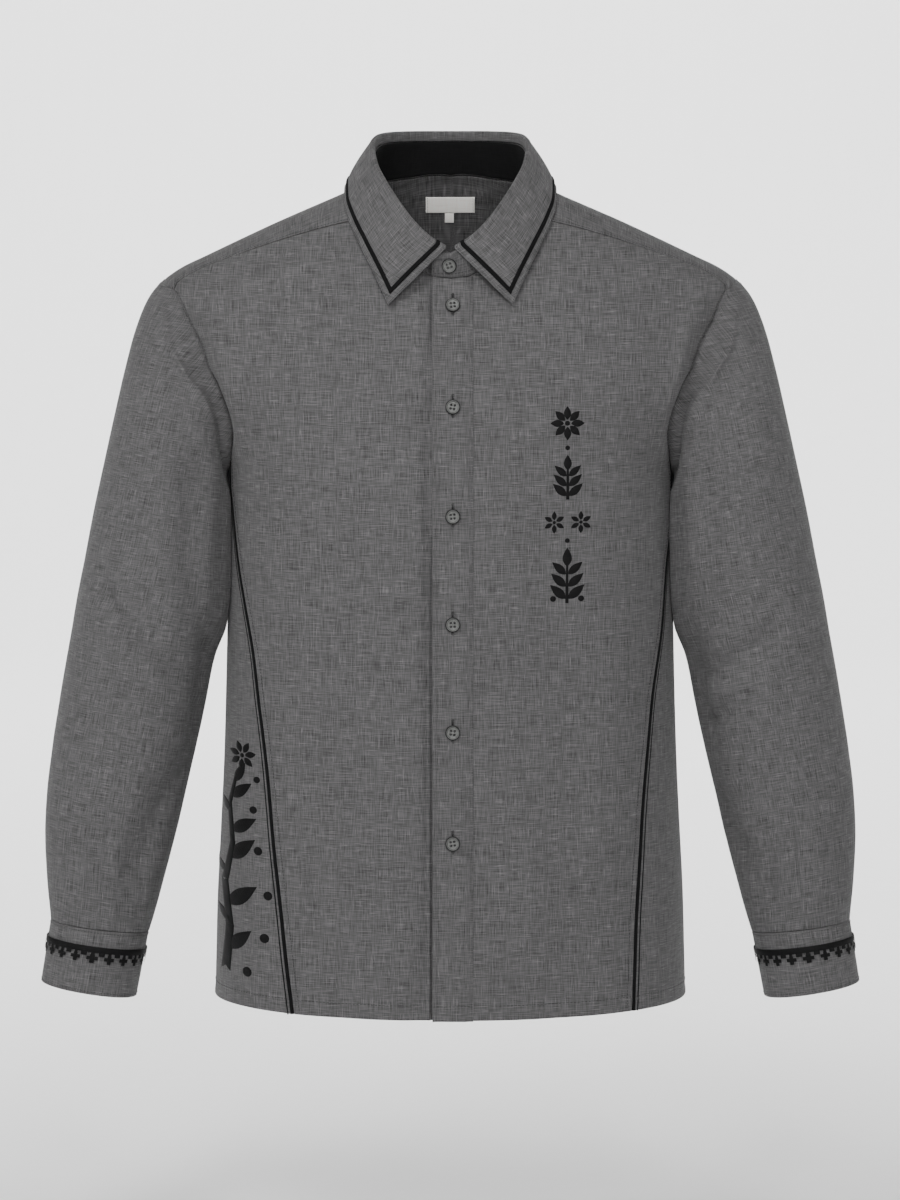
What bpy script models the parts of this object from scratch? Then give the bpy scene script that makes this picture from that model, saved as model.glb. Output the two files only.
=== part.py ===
"""Long-sleeved woven shirt in its hollow worn form, front facing -Y, +Z up, metres.

The origin lies between the shoulders at the base of the neck.  Every panel is a thin wall
with two skins.  The trunk is a stack of rounded sections; panels are patches of that form.
"""
from math import radians

import bmesh
import bpy
import numpy as np
from mathutils import Vector
from mathutils.geometry import tessellate_polygon

for thing in list(bpy.data.objects):
    bpy.data.objects.remove(thing, do_unlink=True)

# Driving sizes, metres
CLOTH = 0.0015
FACING = 0.0010
TAPE = 0.0008
LABEL = 0.0006
SEAM_HALF = 0.00025
LIE_GAP = 0.00035
PIPING_WIDTH = 0.0036
PIPING_DEPTH = 0.0024
UNDERARM_Z = -0.245
HEM_FRONT_Z = -0.7227
HEM_SIDE_Z = -0.7180
PLACKET_FROM_X = -0.0156
PLACKET_TO_X = 0.0195
UNDERLAP_TO_X = 0.0095
PLACKET_TOP_LIFT = CLOTH + 0.0007
YOKE_BACK_Z = -0.086
FALL_HALF = 17
FOLD_ANGLES = 3.0 + 177.0 * np.linspace(0, 1, FALL_HALF + 1)
NECK_YOKE_STEP = 5
NECK_YOKE_ANGLE = FOLD_ANGLES[NECK_YOKE_STEP]
STAND_START_ANGLE = -12.6
STAND_END_ANGLE = 367.0
LAP_HALF_STEP = 0.0018
ROLL_RADIUS = 0.0019
TAPE_INSET = 0.0060
TAPE_WIDTH = 0.0034
BUTTON_RADIUS = 0.0066
BUTTON_DEPTH = 0.0026
BUTTON_X = 0.0021
BUTTON_HEIGHTS = (-0.0972, -0.1845, -0.2791, -0.3735, -0.4682, -0.5658)
CUFF_BUTTON_RADIUS = 0.0058
SLEEVE_PLACKET_LENGTH = 0.110
SLEEVE_PLACKET_WIDTH = 0.022

# Trunk sections: height, half width, depth in front, depth behind, power of the rounding
TRUNK = np.array((
    (-0.7300, 0.2123, 0.1370, 0.1220, 2.30),
    (-0.6340, 0.2097, 0.1355, 0.1190, 2.30),
    (-0.5000, 0.2032, 0.1325, 0.1130, 2.30),
    (-0.3640, 0.1996, 0.1300, 0.1120, 2.30),
    (-0.2900, 0.1985, 0.1275, 0.1160, 2.30),
    (-0.2450, 0.1985, 0.1250, 0.1200, 2.30),
    (-0.2210, 0.2090, 0.1215, 0.1200, 2.25),
    (-0.1960, 0.2290, 0.1180, 0.1195, 2.20),
    (-0.1700, 0.2520, 0.1130, 0.1190, 2.15),
    (-0.1500, 0.2620, 0.1075, 0.1180, 2.10),
    (-0.1200, 0.2640, 0.0980, 0.1130, 2.05),
    (-0.0950, 0.2610, 0.0880, 0.1060, 2.00),
    (-0.0780, 0.2570, 0.0795, 0.1000, 2.00),
    (-0.0710, 0.2490, 0.0765, 0.0975, 2.00),
    (-0.0640, 0.2380, 0.0735, 0.0950, 2.00),
    (-0.0550, 0.2190, 0.0695, 0.0915, 2.00),
    (-0.0400, 0.1875, 0.0625, 0.0848, 2.00),
    (-0.0240, 0.1530, 0.0552, 0.0765, 2.00),
    (-0.0090, 0.1185, 0.0485, 0.0680, 2.00),
    (0.0010, 0.0956, 0.0445, 0.0625, 2.00),
    (0.0090, 0.0780, 0.0415, 0.0598, 2.00),
    (0.0120, 0.0745, 0.0400, 0.0580, 2.00),
    (0.0200, 0.0660, 0.0370, 0.0520, 2.00),
    (0.0350, 0.0600, 0.0310, 0.0460, 2.00),
))

# Armhole in front: degrees round the trunk from the front centre, height
ARMHOLE_FRONT = np.array((
    (90.0, -0.0780),
    (72.2, -0.0845),
    (63.7, -0.1080),
    (57.9, -0.1346),
    (56.2, -0.1646),
    (60.0, -0.1896),
    (67.8, -0.2151),
    (78.0, -0.2340),
    (90.0, UNDERARM_Z),
))

# Armhole behind: degrees round the trunk from the back centre, height
ARMHOLE_BACK = np.array((
    (90.0, -0.0780),
    (76.0, YOKE_BACK_Z),
    (66.0, -0.1120),
    (59.0, -0.1400),
    (56.5, -0.1700),
    (61.0, -0.1960),
    (71.0, -0.2210),
    (79.5, -0.2360),
    (90.0, UNDERARM_Z),
))

# Slanting front seams: distance from the middle, height
PIPED_SEAM_RIGHT = np.array((
    (0.1952, -0.2532),
    (0.1931, -0.2777),
    (0.1890, -0.3144),
    (0.1811, -0.3630),
    (0.1733, -0.4056),
    (0.1682, -0.4449),
    (0.1636, -0.4800),
    (0.1392, HEM_FRONT_Z),
))
PIPED_SEAM_LEFT = np.array((
    (0.1968, -0.2550),
    (0.1962, -0.2848),
    (0.1920, -0.3225),
    (0.1879, -0.3755),
    (0.1781, -0.4461),
    (0.1653, -0.6220),
    (0.1619, HEM_FRONT_Z),
))

# Neckline seam: degrees round the neck from the front, distance from the middle, height
NECKLINE = np.array((
    (0.0, 0.0000, -0.0735),
    (12.0, 0.0155, -0.0715),
    (28.0, 0.0350, -0.0560),
    (40.5, 0.0507, -0.0385),
    (56.7, 0.0654, -0.0170),
    (72.0, 0.0742, -0.0020),
    (90.0, 0.0780, 0.0090),
))
# The neckline behind: degrees round the neck, distance from the middle, backward
NECKLINE_BACK = np.array((
    (90.0, 0.0780, 0.0000),
    (107.0, 0.0745, 0.0170),
    (130.0, 0.0598, 0.0365),
    (155.0, 0.0330, 0.0500),
    (180.0, 0.0000, 0.0552),
))

# Fold of the collar: degrees round the neck, distance from the middle, forward, up, roll height
FOLD = np.array((
    (0.0, 0.0000, -0.0825, -0.0460, 0.0030),
    (12.0, 0.0155, -0.0815, -0.0375, 0.0032),
    (28.0, 0.0330, -0.0745, -0.0215, 0.0040),
    (40.5, 0.0455, -0.0635, -0.0055, 0.0050),
    (56.7, 0.0585, -0.0465, 0.0140, 0.0060),
    (72.0, 0.0665, -0.0270, 0.0290, 0.0070),
    (90.0, 0.0700, -0.0030, 0.0450, 0.0080),
    (115.0, 0.0635, 0.0250, 0.0540, 0.0085),
    (140.0, 0.0450, 0.0480, 0.0563, 0.0085),
    (160.0, 0.0240, 0.0590, 0.0567, 0.0085),
    (180.0, 0.0000, 0.0630, 0.0567, 0.0085),
))

# Outer edge of the collar fall from the point to the back: beside, forward, up
FALL_EDGE = np.array((
    (0.0545, -0.0915, -0.0955),
    (0.0665, -0.0795, -0.0700),
    (0.0795, -0.0640, -0.0440),
    (0.0885, -0.0498, -0.0255),
    (0.0942, -0.0310, -0.0080),
    (0.0940, -0.0050, 0.0070),
    (0.0870, 0.0260, 0.0085),
    (0.0680, 0.0540, 0.0085),
    (0.0370, 0.0700, 0.0080),
    (0.0000, 0.0750, 0.0080),
))

# Sleeve rings: outer beside, outer up, inner beside, inner up, half depth, forward shift, blend
SLEEVE = np.array((
    (0.2570, -0.0780, 0.1985, -0.2450, 0.0610, 0.0000, 0.00),
    (0.2655, -0.0890, 0.2000, -0.2510, 0.0620, 0.0000, 0.10),
    (0.2739, -0.1048, 0.1975, -0.2608, 0.0630, -0.0020, 0.30),
    (0.2826, -0.1275, 0.1920, -0.2755, 0.0640, -0.0060, 0.55),
    (0.2898, -0.1550, 0.1900, -0.2960, 0.0640, -0.0110, 0.80),
    (0.2979, -0.1886, 0.1915, -0.3226, 0.0635, -0.0160, 1.00),
    (0.3072, -0.2283, 0.1930, -0.3503, 0.0630, -0.0190, 1.00),
    (0.3171, -0.2743, 0.1985, -0.3793, 0.0615, -0.0200, 1.00),
    (0.3256, -0.3183, 0.2111, -0.4113, 0.0600, -0.0200, 1.00),
    (0.3347, -0.3634, 0.2186, -0.4464, 0.0585, -0.0200, 1.00),
    (0.3418, -0.4036, 0.2262, -0.4826, 0.0570, -0.0195, 1.00),
    (0.3495, -0.4489, 0.2348, -0.5209, 0.0550, -0.0190, 1.00),
    (0.3569, -0.4931, 0.2424, -0.5521, 0.0530, -0.0185, 1.00),
    (0.3619, -0.5343, 0.2491, -0.5783, 0.0505, -0.0180, 1.00),
    (0.3636, -0.5745, 0.2557, -0.6045, 0.0475, -0.0175, 1.00),
    (0.3626, -0.6117, 0.2633, -0.6317, 0.0435, -0.0170, 1.00),
    (0.3594, -0.6490, 0.2722, -0.6600, 0.0390, -0.0160, 1.00),
))
CUFF_TOP = (0.3594, -0.6495, 0.2725, -0.6605, 0.0385, -0.016)
CUFF_HEM = (0.3683, -0.7050, 0.2838, -0.7190, 0.0395, -0.019)

# Folds of the trunk: beside, up at both ends, half width, depth (in front), then behind
FRONT_FOLDS = (
    (0.1500, -0.2300, 0.1350, -0.5600, 0.0300, 0.0030),
    (0.0900, -0.3500, 0.0950, -0.7200, 0.0260, -0.0028),
)
BACK_FOLDS = (
    (0.0750, -0.1500, 0.0850, -0.7000, 0.0280, 0.0035),
    (0.0000, -0.2500, 0.0000, -0.7000, 0.0280, -0.0030),
    (0.1500, -0.3000, 0.1450, -0.7000, 0.0260, -0.0030),
)

# Hollow along the armhole seam: height, depth at the seam, reach on the body, reach on the sleeve
ARMHOLE_HOLLOW = np.array((
    (-0.2450, 0.0000, 0.0070, 0.0080),
    (-0.2350, 0.0030, 0.0080, 0.0100),
    (-0.2200, 0.0065, 0.0100, 0.0120),
    (-0.2000, 0.0085, 0.0130, 0.0150),
    (-0.1700, 0.0080, 0.0175, 0.0190),
    (-0.1400, 0.0058, 0.0205, 0.0210),
    (-0.1150, 0.0034, 0.0200, 0.0200),
    (-0.0950, 0.0012, 0.0160, 0.0160),
    (-0.0780, 0.0000, 0.0120, 0.0120),
))
SLEEVE_BODY_GAP = 0.0026


def monotone(knots, values, at):
    """Cubic through the knots that never overshoots them."""
    knots = np.asarray(knots, float)
    values = np.asarray(values, float)
    at = np.clip(np.asarray(at, float), knots[0], knots[-1])
    step = np.diff(knots)
    slope = np.diff(values) / step
    lean = np.zeros(len(knots))
    for k in range(1, len(knots) - 1):
        if slope[k - 1] * slope[k] > 0:
            a = 2 * step[k] + step[k - 1]
            b = step[k] + 2 * step[k - 1]
            lean[k] = (a + b) / (a / slope[k - 1] + b / slope[k])
    lean[0] = slope[0]
    lean[-1] = slope[-1]
    place = np.clip(np.searchsorted(knots, at) - 1, 0, len(step) - 1)
    h = step[place]
    t = (at - knots[place]) / h
    start = (1 + 2 * t) * (1 - t) ** 2 * values[place]
    end = t * t * (3 - 2 * t) * values[place + 1]
    return start + end + h * t * (1 - t) ** 2 * lean[place] - h * t * t * (1 - t) * lean[place + 1]


def section(z):
    """Half width, front depth, back depth and power of the trunk at height z."""
    return [monotone(TRUNK[:, 0], TRUNK[:, k], z) for k in (1, 2, 3, 4)]


def on_trunk(angle, z):
    """Point of the trunk at an angle from the front centre (positive to the wearer's left)."""
    angle = np.radians(np.asarray(angle, float))
    z = np.asarray(z, float)
    width, front, back, power = section(z)
    s = np.sin(angle)
    c = np.cos(angle)
    x = width * np.sign(s) * np.abs(s) ** (2 / power)
    y = -np.where(c > 0, front, back) * np.sign(c) * np.abs(c) ** (2 / power)
    return np.stack((x, y, z + 0 * x), axis=-1)


def outside(x, y, z):
    """Zero on the trunk, below zero inside it."""
    width, front, back, power = section(z)
    depth = np.where(y < 0, front, back)
    return (np.abs(x) / width) ** power + (np.abs(y) / depth) ** power - 1


def outward(points):
    """Unit normal of the trunk at its points."""
    x, y, z = points[..., 0], points[..., 1], points[..., 2]
    h = 1e-4
    grad = np.stack((
        outside(x + h, y, z) - outside(x - h, y, z),
        outside(x, y + h, z) - outside(x, y - h, z),
        outside(x, y, z + h) - outside(x, y, z - h),
    ), axis=-1)
    return grad / np.linalg.norm(grad, axis=-1, keepdims=True)


def angle_of(x, z, behind=False):
    """Degrees from the front centre (or the back centre) of the trunk point at x and z."""
    width, _, _, power = section(z)
    ratio = np.clip(np.abs(x) / width, 0, 1) ** (power / 2)
    angle = np.degrees(np.arcsin(ratio)) * np.sign(x)
    return angle


def height_over(x, y):
    """Height of the trunk's upper surface at x and y."""
    low = np.full(np.shape(x), -0.30)
    high = np.full(np.shape(x), 0.035)
    for _ in range(50):
        mid = (low + high) / 2
        is_out = outside(x, y, mid) > 0
        high = np.where(is_out, mid, high)
        low = np.where(is_out, low, mid)
    return (low + high) / 2


def fold_height(points):
    """Soft ridges and troughs of the worn trunk."""
    x, y, z = points[..., 0], points[..., 1], points[..., 2]
    total = np.zeros(x.shape)
    for folds, here in ((FRONT_FOLDS, y < 0), (BACK_FOLDS, y >= 0)):
        for x0, z0, x1, z1, half, depth in folds:
            t = np.clip((z - z0) / (z1 - z0), -0.25, 1.25)
            away = (np.abs(x) - (x0 + (x1 - x0) * t)) / half
            ends = np.clip(np.minimum(t + 0.25, 1.25 - t) / 0.25, 0, 1)
            rise = depth * np.exp(-away ** 2) * ends * ends * (3 - 2 * ends)
            near_side = np.clip(np.abs(y) / 0.03, 0, 1)
            total = total + np.where(here, rise * near_side, 0)
    return total


def ease(share):
    """Slope with a soft start, from 0 to 1."""
    share = np.clip(share, 0, 1)
    return share * share * (1.6 - 0.6 * share)


def hollow_at(z, column):
    """Size from the armhole hollow's table at a height."""
    inside = np.clip(z, ARMHOLE_HOLLOW[0, 0], ARMHOLE_HOLLOW[-1, 0])
    return monotone(ARMHOLE_HOLLOW[:, 0], ARMHOLE_HOLLOW[:, column], inside)


def armhole_hollow(points):
    """Fall of the trunk towards the armhole seam."""
    x, y, z = points[..., 0], points[..., 1], points[..., 2]
    seam = np.where(y < 0, np.interp(z, *SEAM_IN_FRONT), np.interp(z, *SEAM_BEHIND))
    share = 1 - (seam - np.abs(x)) / hollow_at(z, 2)
    return -hollow_at(z, 1) * ease(share)


def worn(points, lift=0.0):
    """Points of the trunk moved by the folds and by a lift along the normal."""
    normal = outward(points)
    height = fold_height(points) + armhole_hollow(points) + lift
    return points + normal * height[..., None], normal


def path(points, fractions, scale=(1.0, 1.0, 1.0)):
    """Smooth path through points, sampled at fractions of its length."""
    points = np.asarray(points, float)
    scaled = points * np.asarray(scale[:points.shape[1]])
    knots = np.concatenate(([0], np.cumsum(np.linalg.norm(np.diff(scaled, axis=0), axis=1))))
    dense = np.linspace(0, knots[-1], 400)
    line = np.stack([monotone(knots, points[:, k], dense) for k in range(points.shape[1])], axis=-1)
    wide = line * np.asarray(scale[:points.shape[1]])
    run = np.concatenate(([0], np.cumsum(np.linalg.norm(np.diff(wide, axis=0), axis=1))))
    at = np.asarray(fractions) * run[-1]
    return np.stack([np.interp(at, run, line[:, k]) for k in range(points.shape[1])], axis=-1)


ANGLE_SCALE = (0.0028, 1.0)


def seam_run(table, turned):
    """Heights and half widths of an armhole, upwards."""
    line = path(table, np.linspace(1, 0, 80), ANGLE_SCALE)
    angle = 180 - line[:, 0] if turned else line[:, 0]
    return line[:, 1], np.abs(on_trunk(angle, line[:, 1])[:, 0])


SEAM_IN_FRONT = seam_run(ARMHOLE_FRONT, False)
SEAM_BEHIND = seam_run(ARMHOLE_BACK, True)


def coons(top, bottom, left, right):
    """Patch between four edges: rows run from top to bottom, columns from left to right."""
    u = np.linspace(0, 1, len(top))[None, :, None]
    v = np.linspace(0, 1, len(left))[:, None, None]
    rails = (1 - v) * top[None] + v * bottom[None] + (1 - u) * left[:, None] + u * right[:, None]
    corners = (1 - u) * (1 - v) * top[0] + u * (1 - v) * top[-1] + (1 - u) * v * bottom[0]
    return rails - corners - u * v * bottom[-1]


def square_way(edge, inner):
    """Unit ways square to an edge, towards the next line of points."""
    along = np.gradient(edge, axis=0)
    along = along / np.linalg.norm(along, axis=-1, keepdims=True)
    way = inner - edge
    way = way - along * np.sum(way * along, axis=-1, keepdims=True)
    return way / np.linalg.norm(way, axis=-1, keepdims=True)


def pull(points, top=0.0, bottom=0.0, left=0.0, right=0.0):
    """Move the edges of a grid of points inward by a length."""
    points = points.copy()
    for amount, e, n in ((top, 0, 1), (bottom, -1, -2)):
        if amount:
            points[e] += square_way(points[e], points[n]) * amount
    for amount, e, n in ((left, 0, 1), (right, -1, -2)):
        if amount:
            points[:, e] += square_way(points[:, e], points[:, n]) * amount
    return points


def grid_normals(points, wrap=False, away_from=None):
    """Unit normals of a grid of points."""
    down = np.gradient(points, axis=0)
    if wrap:
        across = (np.roll(points, -1, axis=1) - np.roll(points, 1, axis=1)) / 2
    else:
        across = np.gradient(points, axis=1)
    normal = np.cross(down, across)
    length = np.linalg.norm(normal, axis=-1, keepdims=True)
    normal = normal / np.maximum(length, 1e-12)
    if away_from is not None and np.sum(normal * (points - away_from)) < 0:
        normal = -normal
    return normal


COLOURS = {
    "linen": (0.137, 0.134, 0.136, 1.0, 0.92),
    "black_trim": (0.008, 0.008, 0.008, 1.0, 0.85),
    "button_grey": (0.155, 0.158, 0.152, 1.0, 0.45),
    "label_cream": (0.78, 0.75, 0.67, 1.0, 0.85),
}


def add_object(name, colour, verts, faces):
    """Named closed mesh with its own material, smooth over its rounded parts."""
    mesh = bpy.data.meshes.new(name)
    bm = bmesh.new()
    made = [bm.verts.new(v) for v in verts]
    for face in faces:
        bm.faces.new([made[k] for k in face])
    bmesh.ops.recalc_face_normals(bm, faces=bm.faces)
    bm.to_mesh(mesh)
    bm.free()
    for polygon in mesh.polygons:
        polygon.use_smooth = True
    mesh.set_sharp_from_angle(angle=radians(40))
    thing = bpy.data.objects.new(name, mesh)
    bpy.context.scene.collection.objects.link(thing)
    material = bpy.data.materials.new(name + "_material")
    material.use_nodes = True
    shader = material.node_tree.nodes["Principled BSDF"]
    red, green, blue, alpha, rough = COLOURS[colour]
    shader.inputs["Base Color"].default_value = (red, green, blue, alpha)
    shader.inputs["Roughness"].default_value = rough
    shader.inputs["Metallic"].default_value = 0.0
    mesh.materials.append(material)
    return thing


def wall(name, colour, points, normals, thick, wrap=False):
    """Closed thin wall on a grid of middle points."""
    rows, cols = points.shape[:2]
    skins = (points + normals * thick / 2, points - normals * thick / 2)
    verts = [tuple(p) for skin in skins for p in skin.reshape(-1, 3)]
    count = rows * cols
    faces = []
    last = cols if wrap else cols - 1
    for r in range(rows - 1):
        for c in range(last):
            a = r * cols + c
            b = r * cols + (c + 1) % cols
            faces.append((a, b, b + cols, a + cols))
            faces.append((count + a, count + a + cols, count + b + cols, count + b))
    for c in range(last):
        a = c
        b = (c + 1) % cols
        faces.append((a, count + a, count + b, b))
        a += (rows - 1) * cols
        b += (rows - 1) * cols
        faces.append((a, b, count + b, count + a))
    if not wrap:
        for r in range(rows - 1):
            a = r * cols
            b = a + cols
            faces.append((a, b, count + b, count + a))
            a += cols - 1
            b += cols - 1
            faces.append((a, count + a, count + b, b))
    return add_object(name, colour, verts, faces)


def hem_z(angle):
    """Height of the hem at an angle round the trunk."""
    return HEM_FRONT_Z + (HEM_SIDE_Z - HEM_FRONT_Z) * np.sin(np.radians(angle)) ** 2


def neck_point(angle):
    """Neckline point on the trunk at an angle round the neck, positive to the wearer's left."""
    turn = (np.asarray(angle, float) + 180) % 360 - 180
    size = np.abs(turn)
    x = monotone(NECKLINE[:, 0], NECKLINE[:, 1], size)
    z = monotone(NECKLINE[:, 0], NECKLINE[:, 2], size)
    width, front, _, power = section(z)
    y = -front * np.maximum(1 - (x / width) ** power, 0) ** (1 / power)
    x_back = monotone(NECKLINE_BACK[:, 0], NECKLINE_BACK[:, 1], size)
    y_back = monotone(NECKLINE_BACK[:, 0], NECKLINE_BACK[:, 2], size)
    behind = size >= 90
    x = np.where(behind, x_back, x)
    y = np.where(behind, y_back, y)
    z = np.where(behind, height_over(x_back, y_back), z)
    return np.stack((np.sign(turn) * x, y, z), axis=-1)


def neck_uv(angle):
    """Angle round the trunk and height of the neckline point."""
    p = neck_point(angle)
    width, _, _, power = section(p[..., 2])
    around = np.degrees(np.arcsin(np.clip(np.abs(p[..., 0]) / width, 0, 1) ** (power / 2)))
    return np.stack((around * np.sign(p[..., 0]), p[..., 2]), axis=-1)


def panel(name, colour, patch, thick=CLOTH, lift=0.0, **edges):
    """Wall on a patch given by angle and height on the trunk."""
    flat = on_trunk(patch[..., 0], patch[..., 1])
    flat = pull(flat, **edges)
    points, normals = worn(flat, lift)
    return wall(name, colour, points, normals, thick)


# Yoke seam in front: straight in plan from the neckline to the armhole
YOKE_NECK = neck_point(NECK_YOKE_ANGLE)
YOKE_ARM_UV = ARMHOLE_FRONT[1]
YOKE_ARM = on_trunk(YOKE_ARM_UV[0], YOKE_ARM_UV[1])


def yoke_seam(fractions):
    """Angle and height along the yoke seam of the wearer's left front, neck to armhole."""
    f = np.asarray(fractions)[:, None]
    plan = YOKE_NECK[:2] * (1 - f) + YOKE_ARM[:2] * f
    z = height_over(plan[:, 0], plan[:, 1])
    z[0] = YOKE_NECK[2]
    z[-1] = YOKE_ARM[2]
    return np.stack((angle_of(plan[:, 0], z), z), axis=-1)


def seam_line(table):
    """Slanting seam as angle and height, from the armhole to the hem."""
    top = ARMHOLE_FRONT[7]
    rest = np.stack((angle_of(table[:, 0], table[:, 1]), table[:, 1]), axis=-1)
    rest[-1, 1] = hem_z(rest[-1, 0])
    return np.vstack((top, rest))


# Front panels, worked out for the wearer's left side and mirrored for the right
COLS_FRONT = 8
ROWS_ARM, ROWS_SEAM = 5, 12
FRONT_HEIGHTS = np.concatenate((
    np.linspace(-0.0735, -0.205, ROWS_ARM + 1)[1:],
    np.linspace(-0.205, HEM_FRONT_Z, ROWS_SEAM + 1)[1:],
))
for side, seam_table, front_x in ((1, PIPED_SEAM_LEFT, PLACKET_TO_X + 0.0002),
                                  (-1, PIPED_SEAM_RIGHT, -UNDERLAP_TO_X)):
    word = "left" if side > 0 else "right"
    seam = seam_line(seam_table)
    front_angle = angle_of(front_x, np.array([-0.072]))[0]
    neck_start = monotone(NECKLINE[:7, 1], NECKLINE[:7, 0], abs(front_x))
    if side > 0:
        neck_angles = np.append(FOLD_ANGLES[NECK_YOKE_STEP:1:-1], neck_start)
    else:
        neck_angles = np.append(FOLD_ANGLES[NECK_YOKE_STEP::-1], (-1.5, -neck_start))
    inner_neck = neck_uv(neck_angles)
    plumb_z = FRONT_HEIGHTS
    plumb = np.stack((angle_of(np.full(len(plumb_z), front_x), plumb_z), plumb_z), axis=-1)
    inner = np.vstack((inner_neck, plumb))
    armhole = ARMHOLE_FRONT[1:8]
    arm_all = path(armhole, np.linspace(0, 1, len(neck_angles) + ROWS_ARM), ANGLE_SCALE)
    outer_seam = path(seam, np.linspace(0, 1, ROWS_SEAM + 1), ANGLE_SCALE)[1:]
    outer = np.vstack((arm_all, outer_seam))
    top = yoke_seam(np.linspace(0, 1, COLS_FRONT + 1))
    u = np.linspace(0, 1, COLS_FRONT + 1)
    hem_angle = inner[-1, 0] * (1 - u) + outer[-1, 0] * u
    bottom = np.stack((hem_angle, hem_z(hem_angle)), axis=-1)
    inner[-1] = bottom[0]
    outer[-1] = bottom[-1]
    inner[0] = top[0]
    outer[0] = top[-1]
    patch = coons(top, bottom, inner, outer)
    patch[..., 0] *= side
    panel("front_center_" + word, "linen", patch, top=SEAM_HALF, left=SEAM_HALF if side > 0 else 0.0,
          right=PIPING_WIDTH / 2 + LIE_GAP)

    # Side front: from the slanting seam round to the side seam
    arm_part = path(ARMHOLE_FRONT[7:9], np.linspace(0, 1, 5), ANGLE_SCALE)
    rows = ROWS_SEAM + 1
    left_edge = path(seam, np.linspace(0, 1, rows), ANGLE_SCALE)
    right_edge = np.stack((np.full(rows, 90.0), np.linspace(UNDERARM_Z, HEM_SIDE_Z, rows)), axis=-1)
    side_angle = np.linspace(left_edge[-1, 0], 90.0, 5)
    low = np.stack((side_angle, hem_z(side_angle)), axis=-1)
    left_edge[-1] = low[0]
    patch = coons(arm_part, low, left_edge, right_edge)
    patch[..., 0] *= side
    panel("front_side_" + word, "linen", patch, left=PIPING_WIDTH / 2 + LIE_GAP, right=SEAM_HALF)

    # Piping in the slanting seam
    line = path(seam, np.linspace(0, 1, ROWS_SEAM + 1), ANGLE_SCALE)
    line[:, 0] *= side
    mid = on_trunk(line[:, 0], line[:, 1])
    mid[0] += (mid[1] - mid[0]) * 0.08
    along = np.gradient(mid, axis=0)
    normal = outward(mid)
    cross = np.cross(normal, along)
    cross = cross / np.linalg.norm(cross, axis=-1, keepdims=True)
    half = PIPING_WIDTH / 2
    grid = np.stack((mid - cross * half, mid, mid + cross * half), axis=1)
    shift = fold_height(grid) + armhole_hollow(grid)
    normal_grid = np.repeat(normal[:, None], 3, axis=1)
    grid = grid + normal_grid * (shift + 0.0003)[..., None]
    wall("seam_piping_" + word, "black_trim", grid, normal_grid, PIPING_DEPTH)

# Back panel
COLS_BACK = 18
ROWS_BACK_ARM, ROWS_BACK_SIDE = 9, 12
back_arm = path(ARMHOLE_BACK[1:], np.linspace(0, 1, ROWS_BACK_ARM + 1), ANGLE_SCALE)
side_z = np.linspace(UNDERARM_Z, HEM_SIDE_Z, ROWS_BACK_SIDE + 1)[1:]
side_line = np.stack((np.full(ROWS_BACK_SIDE, 90.0), side_z), axis=-1)
edge = np.vstack((back_arm, side_line))
left_edge = np.stack((180 - edge[:, 0], edge[:, 1]), axis=-1)
right_edge = np.stack((180 + edge[:, 0], edge[:, 1]), axis=-1)
u = np.linspace(0, 1, COLS_BACK + 1)
top_angle = left_edge[0, 0] * (1 - u) + right_edge[0, 0] * u
top = np.stack((top_angle, np.full(COLS_BACK + 1, YOKE_BACK_Z)), axis=-1)
low_angle = left_edge[-1, 0] * (1 - u) + right_edge[-1, 0] * u
low = np.stack((low_angle, hem_z(low_angle)), axis=-1)
panel("back_panel", "linen", coons(top, low, left_edge, right_edge),
      top=SEAM_HALF, left=SEAM_HALF, right=SEAM_HALF)

# Yoke: rows run from the neckline outward, columns from the right front round the back
YOKE_BACK = 8
neck_half = FOLD_ANGLES[NECK_YOKE_STEP:]
front_arm = path(ARMHOLE_FRONT[:2], np.array((1.0, 0.66, 0.33, 0.0)), ANGLE_SCALE)
tip = on_trunk(front_arm[:, 0], front_arm[:, 1])
back_arm_top = path(ARMHOLE_BACK[:2], np.array((1.0,)), ANGLE_SCALE)
back_corner = on_trunk(180 - back_arm_top[:, 0], back_arm_top[:, 1])
shoulder_edge = np.vstack((tip, back_corner))
back_angles = np.linspace(180 - back_arm_top[0, 0], 180, YOKE_BACK + 1)[1:]
back_edge = on_trunk(back_angles, np.full(YOKE_BACK, YOKE_BACK_Z))
outer_half = np.vstack((shoulder_edge, back_edge))
inner_half = neck_point(neck_half)
mirror = np.array((-1.0, 1.0, 1.0))
inner_edge = np.vstack((inner_half * mirror, inner_half[-2::-1]))
outer_edge = np.vstack((outer_half * mirror, outer_half[-2::-1]))
YOKE_ROWS = COLS_FRONT + 1
v = np.linspace(0, 1, YOKE_ROWS)[:, None, None]
plan = inner_edge[None, :, :2] * (1 - v) + outer_edge[None, :, :2] * v
z = height_over(plan[..., 0], plan[..., 1])
z[0] = inner_edge[:, 2]
z[-1] = outer_edge[:, 2]
yoke_grid = np.concatenate((plan, z[..., None]), axis=-1)
yoke_grid = pull(yoke_grid, bottom=SEAM_HALF, left=SEAM_HALF, right=SEAM_HALF)
yoke_points, yoke_normals = worn(yoke_grid)
wall("yoke", "linen", yoke_points, yoke_normals, CLOTH)

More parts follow.
